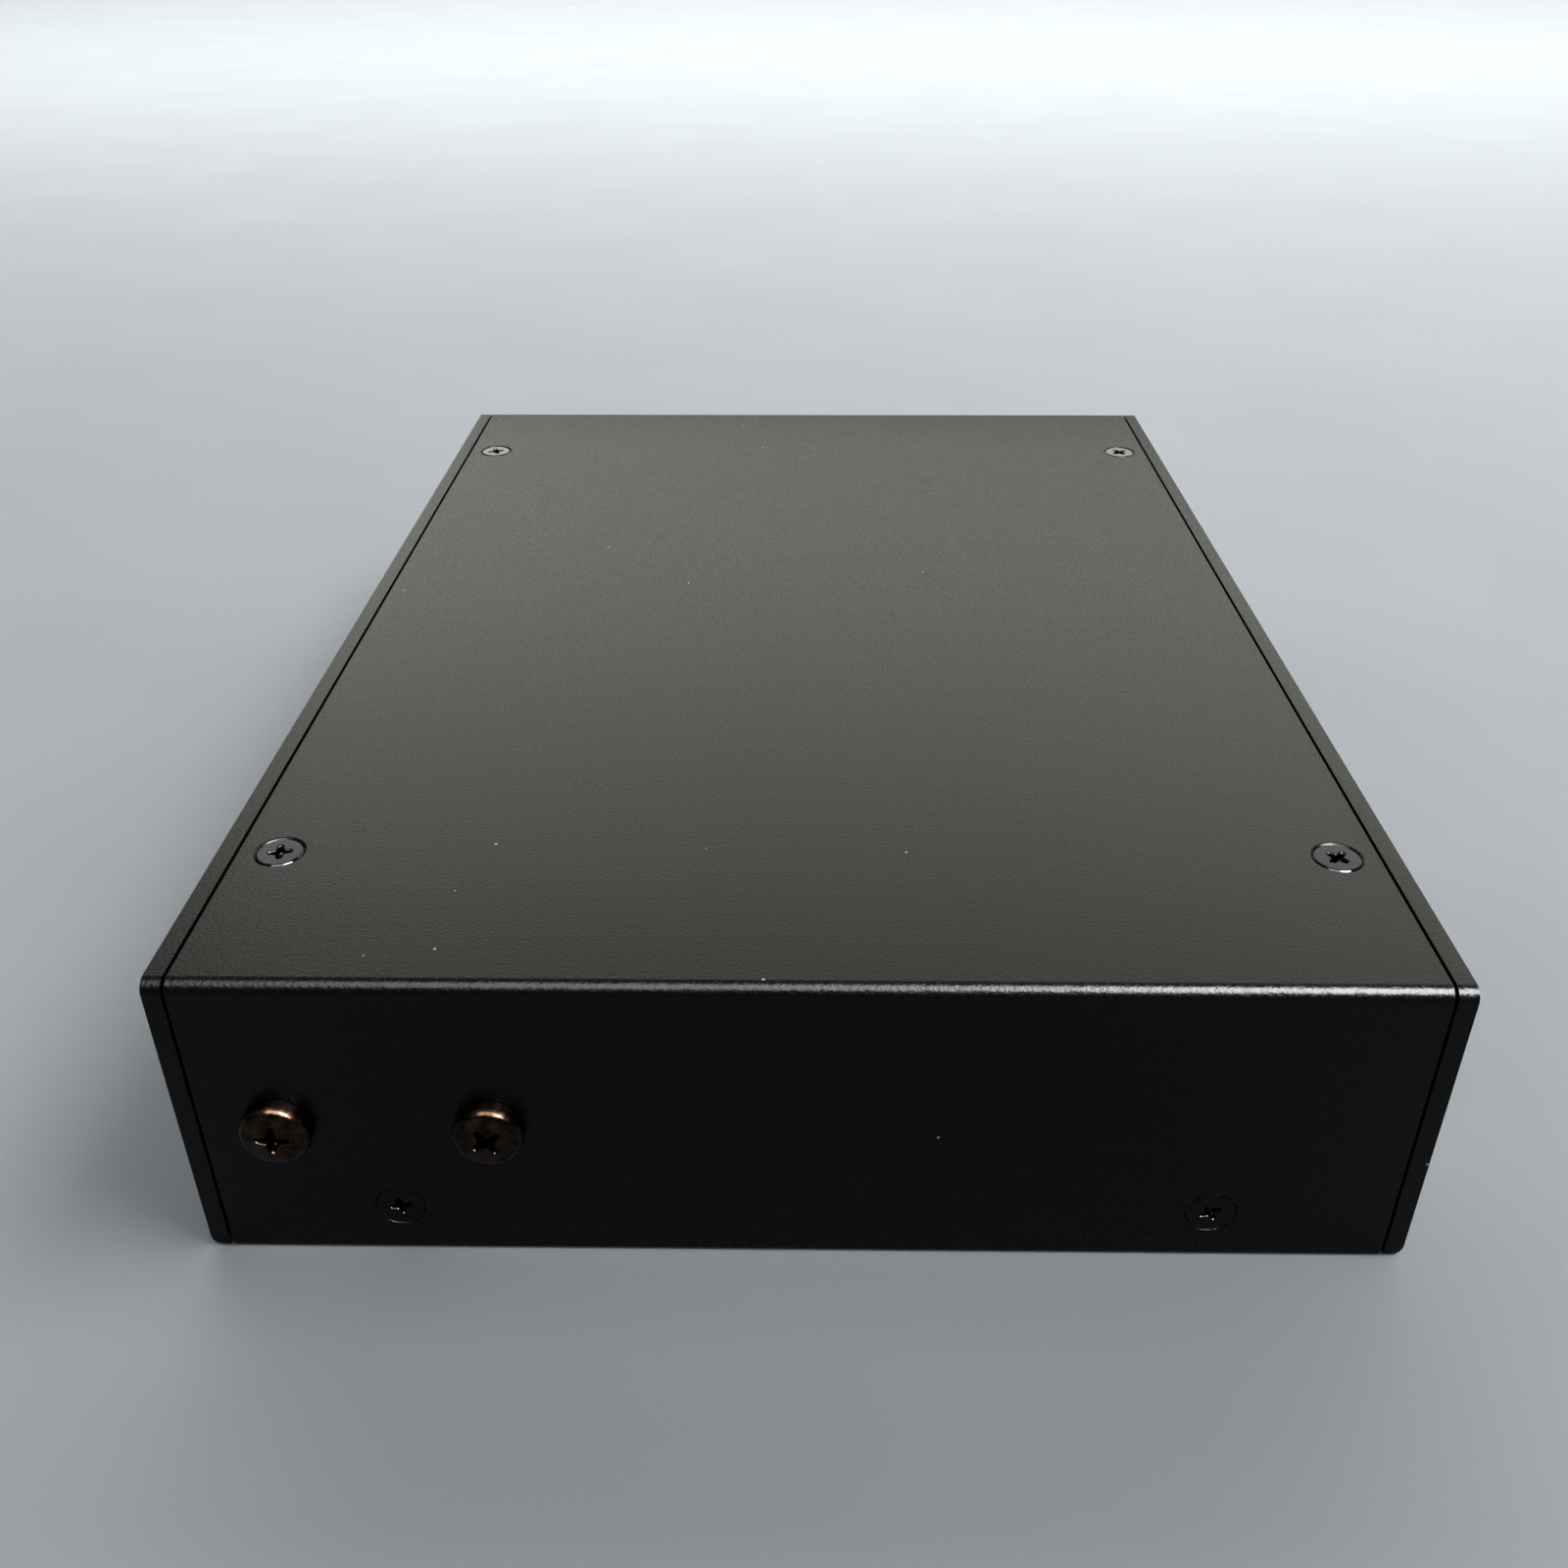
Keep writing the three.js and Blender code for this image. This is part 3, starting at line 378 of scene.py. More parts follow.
def finish_of(name, base, grain, bump, rough, detail=None, **sockets):
    """A finish: colour varied by a soft noise, roughness by a finer one, and a bump of the grain's size.
    base is a darker and a lighter linear colour. grain is the texture's size and bump its height, both in
    millimetres. rough is the lowest and highest roughness.
    detail(tree, coords, colour) returns a new colour socket."""
    if name in _finishes:
        return _finishes[name]
    material = bpy.data.materials.new(name)
    material.use_nodes = True
    tree = material.node_tree
    tree.nodes.clear()
    coords = add_node(tree, "ShaderNodeTexCoord").outputs["Object"]
    cloudy = add_node(tree, "ShaderNodeTexNoise", {"Scale": 1 / (PATCH * MM), "Detail": 3.0}, Vector=coords)
    settings = {"Scale": 1 / (grain * MM), "Detail": 2.0, "Roughness": 0.6}
    fine = add_node(tree, "ShaderNodeTexNoise", settings, Vector=coords)
    darker, lighter = base
    colour = ramp(tree, cloudy.outputs["Fac"], [(0.3, darker), (0.7, lighter)])
    if detail:
        colour = detail(tree, coords, colour)
    roughness = ramp(tree, fine.outputs["Fac"], [(0.3, grey(rough[0])), (0.7, grey(rough[1]))])
    relief = {"Strength": 1.0, "Distance": bump * MM}
    height = add_node(tree, "ShaderNodeBump", relief, Height=fine.outputs["Fac"])
    normal = height.outputs["Normal"]
    shader = add_node(
        tree, "ShaderNodeBsdfPrincipled", sockets, Base_Color=colour, Roughness=roughness, Normal=normal
    )
    add_node(tree, "ShaderNodeOutputMaterial", Surface=shader.outputs["BSDF"])
    _finishes[name] = material
    return material


def blend(tree, factor, colour, other, mode="MIX"):
    """One colour mixed with another. Each of the three inputs is a socket to link or a constant."""
    node = add_node(tree, "ShaderNodeMix", {"data_type": "RGBA", "blend_type": mode})
    inputs = [node.inputs["Factor"]] + [socket for socket in node.inputs if socket.type == "RGBA"]
    for socket, value in zip(inputs, (factor, colour, other)):
        if isinstance(value, bpy.types.NodeSocket):
            tree.links.new(value, socket)
        else:
            socket.default_value = value
    return next(socket for socket in node.outputs if socket.type == "RGBA")


def below(tree, value, limit):
    """1 where a value is below a limit, otherwise 0."""
    node = add_node(tree, "ShaderNodeMath", {"operation": "LESS_THAN"}, i0=value)
    node.inputs[1].default_value = limit
    return node.outputs[0]


def specks(size, share, dust):
    """A detail that sprinkles dust: a spot of the given size in a share of the cells.
    Each cell is four sizes across."""

    def detail(tree, coords, colour):
        cells = add_node(tree, "ShaderNodeTexVoronoi", {"Scale": 1 / (4 * size * MM)}, Vector=coords)
        pick = add_node(tree, "ShaderNodeSeparateColor", Color=cells.outputs["Color"])
        near, few = below(tree, cells.outputs["Distance"], 0.125), below(tree, pick.outputs["Red"], share)
        both = add_node(tree, "ShaderNodeMath", {"operation": "MULTIPLY"}, i0=near, i1=few)
        return blend(tree, both.outputs[0], colour, (*linear(dust), 1))

    return detail


def tarnished(tree, coords, colour):
    """A detail that lays darker, browner patches about 1.2 mm across over the colour."""
    settings = {"Scale": 1 / (1.2 * MM), "Detail": 5.0, "Roughness": 0.65}
    patches = add_node(tree, "ShaderNodeTexNoise", settings, Vector=coords)
    dark = ramp(tree, patches.outputs["Fac"], [(0.4, linear(0x685E56)), (0.62, (1, 1, 1))])
    return blend(tree, 0.8, colour, dark, "MULTIPLY")


def painted_shade_within(depth, dark):
    """A detail that paints shade: it darkens whatever lies further in than depth behind the rear panel's
    face.
    """

    def detail(tree, coords, colour):
        spot = add_node(tree, "ShaderNodeSeparateXYZ", Vector=coords)
        inside = below(tree, spot.outputs["X"], (HALF_X - depth) * MM)
        return blend(tree, inside, colour, (*linear(dark), 1))

    return detail


# Polyester powder coat, baked: a satin black skin with a fine orange peel and a little lint on it.
def powder_coat():
    return finish_of(
        "black powder coat",
        shades(colours().powder),
        0.4,
        0.045,
        (0.24, 0.32),
        specks(0.35, 0.006, 0xB9B9B2),
        **{"IOR": 1.5, "Specular IOR Level": 0.2},
    )


# Black zinc on steel: near-black, glossier than the paint, so each recess shows sharp glints.
def black_zinc():
    base = shades(colours().zinc)
    return finish_of("black zinc plated steel", base, 0.25, 0.002, (0.06, 0.12), Metallic=1.0)


# Zinc plate gone brown: metal glints through patchy, matt tarnish.
def tarnished_steel():
    base = shades(colours().tarnish, 0.3)
    return finish_of("tarnished plated steel", base, 0.3, 0.004, (0.14, 0.26), tarnished, Metallic=1.0)


# Bright nickel plate on drawn steel: cool, mirror-like with a faint drawing grain.
def nickel_plate():
    base = shades(colours().nickel, 0.1)
    return finish_of("nickel plated steel", base, 0.3, 0.002, (0.18, 0.3), Metallic=1.0)


# The same plate on a socket's shell, with painted shade on its inside, so that each mouth reads as a hole.
def nickel_shell():
    # 0x141415 is painted shade, laid on all that lies deeper than 0.6 mm behind the panel's face.
    base, inside = shades(colours().nickel, 0.1), painted_shade_within(0.6, 0x141415)
    return finish_of("nickel shell painted shade inside", base, 0.3, 0.002, (0.18, 0.3), inside, Metallic=1.0)


# Turned brass: warm yellow, with soft variation from handling.
def turned_brass():
    return finish_of("turned brass", pair(0xB08D4B, 0xC7A563), 0.2, 0.002, (0.25, 0.38), Metallic=1.0)


# Gold flash on contact springs: deep yellow and bright.
def gold_flash():
    base = pair(0xD0A040, 0xE0B560)
    return finish_of("gold flashed contacts", base, 0.2, 0.001, (0.15, 0.25), Metallic=1.0)


# Extruded aluminium, bare: pale grey with a dull sheen.
def bare_aluminium():
    base = pair(0xA2A4A7, 0xB6B8BB)
    return finish_of("bare extruded aluminium", base, 0.25, 0.004, (0.32, 0.46), Metallic=1.0)


# Green solder mask over fibreglass: glossy, with the weave faintly showing.
def solder_mask():
    return finish_of("green solder mask", pair(0x14492A, 0x1E5C36), 0.6, 0.006, (0.25, 0.38), IOR=1.52)


# Moulded epoxy: charcoal and matt, with a fine moulded grit.
def moulded_epoxy():
    return finish_of("moulded epoxy", pair(0x1B1B1C, 0x262627), 0.18, 0.006, (0.55, 0.7), IOR=1.5)


# Moulded black nylon: a soft black with a faint spark-eroded grain.
def black_nylon():
    return finish_of("moulded black nylon", shades(colours().nylon, 0.2), 0.25, 0.008, (0.42, 0.55), IOR=1.53)


# Natural nylon: warm ivory, slightly waxy.
def natural_nylon():
    return finish_of("natural nylon", pair(0xCFC8B2, 0xDDD6C2), 0.3, 0.004, (0.4, 0.5), IOR=1.53)


# Clear polycarbonate: glassy, and a little smoky where it sits in the dark panel.
def clear_polycarbonate():
    glass = {"IOR": 1.585, "Transmission Weight": 0.55}
    return finish_of("clear polycarbonate", pair(0xC9D3D2, 0xDDE4E3), 0.5, 0.001, (0.08, 0.14), **glass)


# Filled silicone sheet: soft grey and dead matt.
def silicone_pad():
    return finish_of("grey silicone pad", pair(0x7C8286, 0x8C9296), 0.3, 0.01, (0.8, 0.92), IOR=1.41)


# Vinyl wire insulation: a glossy, plain red.
def red_vinyl():
    return finish_of("red vinyl insulation", pair(0x8C1713, 0xA82420), 0.4, 0.003, (0.35, 0.45), IOR=1.53)


# Smoked windows over the link lights: dim green and amber, unlit.
def link_window(name, darker, lighter):
    return finish_of(name, pair(darker, lighter), 0.4, 0.001, (0.12, 0.2), IOR=1.58)


# ------------------------------------------------------------------ the case

FLAT_CLEARANCE = 0.15  # between a countersunk screw's thread and its hole, all round
EAR_CLEARANCE = 0.2
FLAT_HOLE_DEEP = 8
EAR_HOLE_DEEP = 6


def hole(radius, deep):
    """The profile (radius, height) of a plain round cut, deep into the surface and a little past it."""
    return [(0, -deep), (radius, -deep), (radius, PAST), (0, PAST)]


def countersinks(towards_of, nodes):
    """The cutting shapes of the countersunk holes: a cone from the surface down to the thread's clearance."""
    sink, clear = sizes().sink / MM / 2, screws().flat_thread / MM / 2 + FLAT_CLEARANCE
    deep = FLAT_HOLE_DEEP
    profile = [(0, -deep), (clear, -deep), (clear, clear - sink), (sink, 0), (sink, PAST), (0, PAST)]
    return [turned(profile, towards_of(n), head_centre(n, towards_of(n)), 64) for n in nodes]


def head_centre(node, towards):
    """The point on the case's surface over a screw's middle."""
    at = middle(node)
    surface = {"+x": HALF_X, "+y": HALF_Y, "-y": -HALF_Y, "+z": TALL}
    at["xyz".index(towards[1])] = surface[towards]
    return at


def up(node):
    """The way a top screw faces."""
    return "+z"


def sideways(node):
    """The way a side or ear screw faces: out of the side it is nearer to."""
    return "-y" if middle(node)[1] < 0 else "+y"


def ear_holes(nodes):
    """The cutting shapes of the ear screws' holes."""
    profile = hole(screws().pan_thread / MM / 2 + EAR_CLEARANCE, EAR_HOLE_DEEP)
    return [turned(profile, sideways(n), head_centre(n, sideways(n)), 48) for n in nodes]


def screw_holes():
    """Every screw hole in the case's outside.
    Cover and chassis are cut by the same shapes, so their holes line up."""
    return countersinks(up, TOP_SCREWS) + countersinks(sideways, SIDE_SCREWS) + ear_holes(EAR_SCREWS)


def bent_cover():
    """The cover's outline in (y, z), a U with round bends inside and out, carried along x, then drilled."""
    thick, bend = sizes().cover / MM, sizes().bend / MM
    inner = bend - thick
    foot = COVER_LOW[2]
    arc = np.linspace(0, math.pi / 2, 17)
    y, z = HALF_Y - bend, TALL - bend
    right_out = np.stack([y + bend * np.cos(arc), z + bend * np.sin(arc)], -1)
    right_in = np.stack([y + inner * np.cos(arc), z + inner * np.sin(arc)], -1)
    mirror = np.array([-1, 1])
    outline = np.concatenate(
        [
            [(-HALF_Y + thick, foot), (-HALF_Y, foot)],
            right_out * mirror,
            right_out[::-1],
            [(HALF_Y, foot), (HALF_Y - thick, foot)],
            right_in,
            (right_in * mirror)[::-1],
        ]
    )
    piece = mesh_of("cover_sheet", [prism(outline, 0, COVER_LOW[0], COVER_HIGH[0])])
    carve(piece, screw_holes())
    return piece


# Rows of vents: the first one's place, the step to the next, how many, the height, and each one's size.
VENT_REAR = {"first": -8, "pitch": 9, "count": 9, "z": 29, "long": 6.5, "wide": 2}
VENT_FRONT = {"first": -76, "pitch": 7, "count": 11, "z": 18.5, "long": 15, "wide": 2.4}
VENT_TRAY = {"first": -36, "pitch": 12, "count": 7, "rows": (-42, 42), "long": 26, "wide": 3}
LOCK = {"y": 81, "z": 25, "long": 7, "wide": 3}
WINDOW_GAP = 0.25
BEZEL_LAP = 0.8  # how far the switch's bezel covers the panel round its hole
THROUGH = 3  # deep enough to go through any panel
SOCKET_HOLE, PLUNGER_HOLE, PIPE_HOLE, STANDOFF_HOLE = 4.4, 1.8, 1.6, 2.45  # radii
GROUND_CLEARANCE = 0.15
SLOT_TRIM = 0.005  # keeps a slot's two round ends from meeting in a point


def window(node, gap=WINDOW_GAP):
    """A square hole through the rear panel, larger by gap all round than what comes through it."""
    low, high = span(node)
    back, front = HALF_X - THROUGH, HALF_X + PAST
    return brick((back, low[1] - gap, low[2] - gap), (front, high[1] + gap, high[2] + gap))


def slot_through(y, z, long, wide, x0, x1, upright=False):
    """A round-ended slot through an end panel."""
    du, dv = (wide / 2, long / 2) if upright else (long / 2, wide / 2)
    return prism(rounded(y - du, z - dv, y + du, z + dv, wide / 2 - SLOT_TRIM, 8), 0, x0, x1)


def row_of(vent):
    """The places of a row of vents."""
    return [vent["first"] + i * vent["pitch"] for i in range(vent["count"])]


LIP_TOP = 11
EAR_PLATE_FOOT = 10
EAR_ROOM = 7  # from an ear screw's middle to the edge of the plate that it is screwed into
TAB_LONG, TAB_HALF_WIDE = 10, 8
TAB_OVERLAP = 0.5  # how far a tab runs into the end panel, so that the two join
TAB_GAP = 0.1  # between a tab and the cover on it
LIP_END_GAP = 1


def bent_chassis():
    """Tray and end panels: a U outline in (x, z) carried along y, kept inside the rounded side view,
    with lips and tabs joined on and every opening cut through."""
    panel, bend, slip = sizes().panel / MM, sizes().bend / MM, sizes().slip / MM
    inside = HALF_X - panel
    arc = np.linspace(-math.pi / 2, 0, 13)
    corner = np.stack([HALF_X - bend + bend * np.cos(arc), bend + bend * np.sin(arc)], -1)
    mirror = np.array([-1, 1])
    outline = np.concatenate(
        [
            corner,
            [(HALF_X, TALL), (inside, TALL), (inside, panel)],
            [(-inside, panel), (-inside, TALL), (-HALF_X, TALL)],
            (corner * mirror)[::-1],
        ]
    )
    piece = mesh_of("chassis_sheet", [prism(outline, 1, -HALF_Y, HALF_Y)])
    foot = sizes().foot / MM
    side_view = rounded(-HALF_Y, 0, HALF_Y, TALL, bend, 12, foot)
    carve(piece, [prism(side_view, 0, -HALF_X - PAST, HALF_X + PAST)], "INTERSECT")
    lip_out = HALF_Y - sizes().cover / MM - slip
    lip_in = lip_out - panel
    room = []
    for side in (-1, 1):
        y0, y1 = sorted((side * lip_out, side * (HALF_Y + PAST)))
        room.append(brick((-inside, y0, -PAST), (inside, y1, TALL + PAST)))
    carve(piece, room)
    ear_high = middle(EAR_SCREWS[0])[2] + EAR_ROOM
    ear_far = middle(EAR_SCREWS[1])[0] + EAR_ROOM
    screw_y = abs(middle(TOP_SCREWS[0])[1])
    tab_top = TALL - sizes().cover / MM - TAB_GAP
    for side in (-1, 1):
        y0, y1 = sorted((side * lip_in, side * lip_out))
        near, far = LIP_END_GAP - inside, inside - LIP_END_GAP
        carve(piece, [brick((near, y0, panel / 2), (far, y1, LIP_TOP))], "UNION")
        carve(piece, [brick((near, y0, EAR_PLATE_FOOT), (ear_far, y1, ear_high))], "UNION")
        tabs = []
        for end in (-1, 1):
            x0, x1 = sorted((end * (inside - TAB_LONG), end * (inside + TAB_OVERLAP)))
            y = side * screw_y
            tabs.append(brick((x0, y - TAB_HALF_WIDE, tab_top - panel), (x1, y + TAB_HALF_WIDE, tab_top)))
        carve(piece, tabs, "UNION")
    carve(piece, screw_holes())
    carve(piece, rear_openings() + front_openings() + tray_openings())
    return piece


def round_opening(node, radius, towards):
    """A round hole through the rear (+x) or front (-x) panel, over a node's middle."""
    at = middle(node)
    at[0] = HALF_X if towards == "+x" else -HALF_X
    return turned(hole(radius, THROUGH), towards, at, 48)


def rear_openings():
    """The cuts in the rear panel: sockets, switch, reset button, ground screw, lock slot and vents."""
    through = (HALF_X - THROUGH, HALF_X + PAST)
    vent = VENT_REAR
    return (
        [window(node) for node in JACKS + ["usb_socket"]]
        + [window("power_switch_housing", -BEZEL_LAP)]
        + [round_opening("dc_socket", SOCKET_HOLE, "+x"), round_opening("reset_plunger", PLUNGER_HOLE, "+x")]
        + [round_opening("ground_screw", screws().pan_thread / MM / 2 + GROUND_CLEARANCE, "+x")]
        + [slot_through(LOCK["y"], LOCK["z"], LOCK["long"], LOCK["wide"], *through)]
        + [slot_through(y, vent["z"], vent["long"], vent["wide"], *through) for y in row_of(vent)]
    )


def front_openings():
    """The cuts in the front panel: light pipes and upright vents."""
    through = (-HALF_X - PAST, THROUGH - HALF_X)
    vent = VENT_FRONT
    vents = [slot_through(y, vent["z"], vent["long"], vent["wide"], *through, True) for y in row_of(vent)]
    return [round_opening(pipe, PIPE_HOLE, "-x") for pipe in LIGHT_PIPES] + vents


def tray_openings():
    """The cuts in the tray: two rows of vents and the standoffs' holes."""
    half, long = VENT_TRAY["wide"] / 2, VENT_TRAY["long"] / 2
    cuts = []
    for y in VENT_TRAY["rows"]:
        for x in row_of(VENT_TRAY):
            outline = rounded(x - half, y - long, x + half, y + long, half - SLOT_TRIM, 8)
            cuts.append(prism(outline, 2, -PAST, THROUGH))
    profile = [(0, -PAST), (STANDOFF_HOLE, -PAST), (STANDOFF_HOLE, THROUGH), (0, THROUGH)]
    for node in numbered("board_standoff", 4):
        at = middle(node)
        at[2] = 0
        cuts.append(turned(profile, "+z", at, 32))
    return cuts


# ------------------------------------------------------------------ screws


def step(distance, soft):
    """A smooth step from 0 to 1 as distance goes from 0 to soft."""
    t = np.clip(distance / soft, 0, 1)
    return t * t * (3 - 2 * t)


def cross_recess(arm, width, depth, lip):
    """The depth of a cross recess: two crossed arms with sloping walls, and a pit where they cross.
    Outward, each arm narrows in a straight line and its floor rises by the power 1.5 of the distance.
    A shallow lip is sunk round their mouth."""
    narrowing, rise = 0.62, 0.45  # the share of its width and of its depth that an arm has lost at its end
    pit_reach, pit_soft = 0.85, 0.45  # shares of the width

    def one(along, across):
        half = width / 2 * (1 - narrowing * along / arm)
        floor = depth * (1 - rise * np.clip(along / arm, 0, 1) ** 1.5)
        wall = step(half - across + 0.09, 0.2) * step(arm - along + 0.1, 0.3)
        return floor * wall + lip * step(half - across + 0.25, 0.24) * step(arm - along + 0.28, 0.28)

    def dent(x, y):
        x, y = np.abs(x), np.abs(y)
        pit = depth * step(width * pit_reach - np.hypot(x, y), width * pit_soft)
        return np.maximum(np.maximum(one(x, y), one(y, x)), pit)

    return dent


def rings(start, stop, count):
    """Evenly spaced radii from start down to stop, without the first."""
    return np.linspace(start, stop, count + 1)[1:]


SCREW_SIDES = 112
HEAD_RINGS = 34  # enough to carry the recess
FLAT_DEEP = 6  # how far the countersunk screws' shanks reach in
PAN_DEEP = 7.0
TOP_SUNK = 0.04  # how far the top screws' heads lie under the painted surface


def flat_screw(name, node, towards, spin, top):
    """A countersunk screw: shank, cone and flat head turned from one profile, the cross recess pressed in.
    The head's edge is a short upright rim, a land at 45 degrees and an eighth of a circle that ends level.
    top is the head's height over the painted surface."""
    head, shank = screws().flat_head / MM / 2, screws().flat_thread / MM / 2
    upright, land, tip, eighth = 0.04, 0.1, 0.3, math.pi / 4
    rim = top - 0.22
    curve = (top - rim - upright - land) / (1 - math.cos(eighth))
    inner, level = head - land, rim + upright + land
    shoulder = [(head, rim + upright)] + [
        (inner - curve * (math.sin(eighth) - math.sin(a)), level + curve * (math.cos(a) - math.cos(eighth)))
        for a in np.linspace(eighth, 0, 7)
    ]
    profile = [(0, -FLAT_DEEP), (shank - tip, -FLAT_DEEP), (shank, tip - FLAT_DEEP)]
    profile += [(shank, rim - head + shank), (head - 0.03, rim)]
    profile += shoulder + [(r, top) for r in rings(shoulder[-1][0], 0, HEAD_RINGS)]
    dent = cross_recess(1.22, 0.84, 1.1, 0.1)
    return mesh_of(name, [turned(profile, towards, head_centre(node, towards), SCREW_SIDES, dent, spin)])


def pan_screw(name, at, towards, spin):
    """A pan-head screw: a straight side, a rounded shoulder and a low dome, with the cross recess pressed in.
    The shoulder is a quarter ellipse and the dome falls with the square of the distance from the middle."""
    head, height = screws().pan_head / MM, screws().pan_height / MM
    r, shank = head / 2, screws().pan_thread / MM / 2
    tip, under, dome_rise = 0.4, 0.12, 0.36
    shoulder = 0.54 * height
    side = height - shoulder
    curve = [
        (r - 0.25 * r * (1 - math.cos(a)), side + (shoulder - dome_rise) * math.sin(a))
        for a in np.linspace(0, math.pi / 2, 9)
    ]
    edge_r, edge_h = curve[-1]
    dome = [(q, height - (height - edge_h) * (q / edge_r) ** 2) for q in rings(edge_r, 0, HEAD_RINGS)]
    # The side is a hair wider than the shoulder, so that it holds the profile's widest ring.
    widest = r + 1e-4
    profile = [(0, -PAN_DEEP), (shank - tip, -PAN_DEEP), (shank, tip - PAN_DEEP), (shank, 0.0)]
    profile += [(r - under, 0.0), (widest, under), (widest, side)] + curve[1:] + dome
    dent = cross_recess(0.225 * head, 0.15 * head, 0.7 * height, 0.16)
    return mesh_of(name, [turned(profile, towards, at, SCREW_SIDES, dent, spin)])


# ------------------------------------------------------------------ operators


class BuildStep:
    """What every building step shares."""

    bl_options = {"REGISTER", "UNDO"}


class APPLIANCE_OT_stage(BuildStep, bpy.types.Operator):
    """Lay the floor, hang the soft lights and set up the camera"""

    bl_idname = "appliance.stage"
    bl_label = "Stage"

    def execute(self, context):
        scene = context.scene
        floor = mesh_of("floor", [swept_floor()], math.radians(80))
        floor.data.materials.append(floor_paint(context))
        world = scene.world or bpy.data.worlds.new("studio")
        scene.world = world
        world.use_nodes = True
        background = world.node_tree.nodes["Background"]
        background.inputs["Color"].default_value = (*linear(WORLD_COLOUR), 1)
        background.inputs["Strength"].default_value = WORLD_STRENGTH
        for lamp in LAMPS:
            area_light(*lamp)
        scene.view_settings.view_transform = "Standard"
        scene.view_settings.gamma = DISPLAY_GAMMA
        make_camera(scene)
        return {"FINISHED"}


FLOOR_REACH, FLOOR_BEND, WALL_TOP = 3000, 800, 2000
FLOOR_DROP = 0.05  # keeps the floor clear of the underside


def swept_floor():
    """A round floor that curves up all round into a low wall: (radius, height) turned about the middle.
    The curve is a quarter circle, reach + bend * sin, bend - bend * cos."""
    arc = np.linspace(0, math.pi / 2, 13)[1:]
    bend = [(FLOOR_REACH + FLOOR_BEND * math.sin(a), FLOOR_BEND - FLOOR_BEND * math.cos(a)) for a in arc]
    profile = [(r, 0) for r in (0, 300, 1200, FLOOR_REACH)] + bend + [(FLOOR_REACH + FLOOR_BEND, WALL_TOP)]
    return turned(profile, "+z", (0, 0, -FLOOR_DROP), 72)


def floor_paint(context):
    """Plain matt paint: pale, with hardly any grain."""
    material = bpy.data.materials.new("matt floor paint")
    material.use_nodes = True
    tree = material.node_tree
    tree.nodes.clear()
    coords = add_node(tree, "ShaderNodeTexCoord").outputs["Object"]
    noise = add_node(tree, "ShaderNodeTexNoise", {"Scale": 1 / (60 * MM), "Detail": 2.0}, Vector=coords)
    base = np.array(context.scene.colours.floor)
    colour = ramp(tree, noise.outputs["Fac"], [(0.3, tuple(base * 0.97)), (0.7, tuple(base))])
    matt = {"Roughness": 0.85, "Specular IOR Level": 0.0}
    shader = add_node(tree, "ShaderNodeBsdfPrincipled", matt, Base_Color=colour)
    add_node(tree, "ShaderNodeOutputMaterial", Surface=shader.outputs["BSDF"])
    return material


WORLD_COLOUR = 0xD8DADC
WORLD_STRENGTH = 0.5
# Below 1 it deepens the shadows, as a camera's contrast curve does.
DISPLAY_GAMMA = 0.8

# Each lamp: name, where it hangs and what it faces (metres), width and depth (metres), power (watts),
# colour, and whether it lights matt surfaces or shows in glossy ones.
LAMPS = [
    ("rear_card", (0.32, 0.95, 0.78), (0.1, 0.0, 0.0), 2.3, 0.95, 20.0, 0xFFFDF2, "glossy"),
    ("right_card", (0.56, -0.5, 0.95), (0.56, -0.1, 0.0), 0.7, 0.76, 95.0, 0xFFFFFF, "glossy"),
    ("left_card", (-0.14, -0.5, 0.95), (-0.14, -0.1, 0.0), 0.7, 0.76, 22.0, 0xFFFFFF, "glossy"),
    ("key_lamp", (0.62, -0.1, 1.0), (0.2, 0.0, 0.0), 0.8, 0.5, 5.8, 0xFFFFFF, "matt"),
    ("backdrop_lamp", (0.2, 1.0, 0.8), (0.2, 1.01, 0.0), 3.0, 0.8, 17.0, 0xFFFFF8, "matt"),
    ("far_lamp", (0.2, 2.1, 1.0), (0.2, 2.11, 0.0), 4.0, 1.0, 30.0, 0xFFFFF8, "matt"),
]


def area_light(name, at, towards, wide, high, power, colour, lights):
    """Hangs one rectangular lamp."""
    data = bpy.data.lights.new(name, "AREA")
    data.shape = "RECTANGLE"
    data.size = wide
    data.size_y = high
    data.energy = power
    data.color = linear(colour)
    lamp = bpy.data.objects.new(name, data)
    lamp.location = at
    lamp.rotation_euler = (Vector(towards) - Vector(at)).to_track_quat("-Z", "Y").to_euler()
    lamp.visible_diffuse = lights == "matt"
    lamp.visible_glossy = lights == "glossy"
    bpy.context.scene.collection.objects.link(lamp)


# The camera's place in millimetres, its turns in degrees and its lens in millimetres on a full-frame sensor.
CAMERA_AT = (-0.3, -204.8, 130.4)
CAMERA_TURN = {"pitch": 31.51, "yaw": 0.89, "roll": -0.2}
CAMERA_LENS = 34.07


def make_camera(scene):
    """A camera looking along +Y and down, turned by its yaw and roll."""
    pitch, yaw, roll = (math.radians(CAMERA_TURN[k]) for k in ("pitch", "yaw", "roll"))
    forward = Vector((-math.sin(yaw) * math.cos(pitch), math.cos(yaw) * math.cos(pitch), -math.sin(pitch)))
    right = Vector((math.cos(yaw), math.sin(yaw), 0))
    above = right.cross(forward)
    side = right * math.cos(roll) + above * math.sin(roll)
    top = above * math.cos(roll) - right * math.sin(roll)
    data = bpy.data.cameras.new("camera")
    data.sensor_width = 36
    data.lens = CAMERA_LENS
    data.clip_start = 0.01
    camera = bpy.data.objects.new("camera", data)
    turn = Matrix((side, top, -forward)).transposed().to_4x4()
    camera.matrix_world = Matrix.Translation(Vector(CAMERA_AT) * MM) @ turn
    scene.collection.objects.link(camera)
    scene.camera = camera


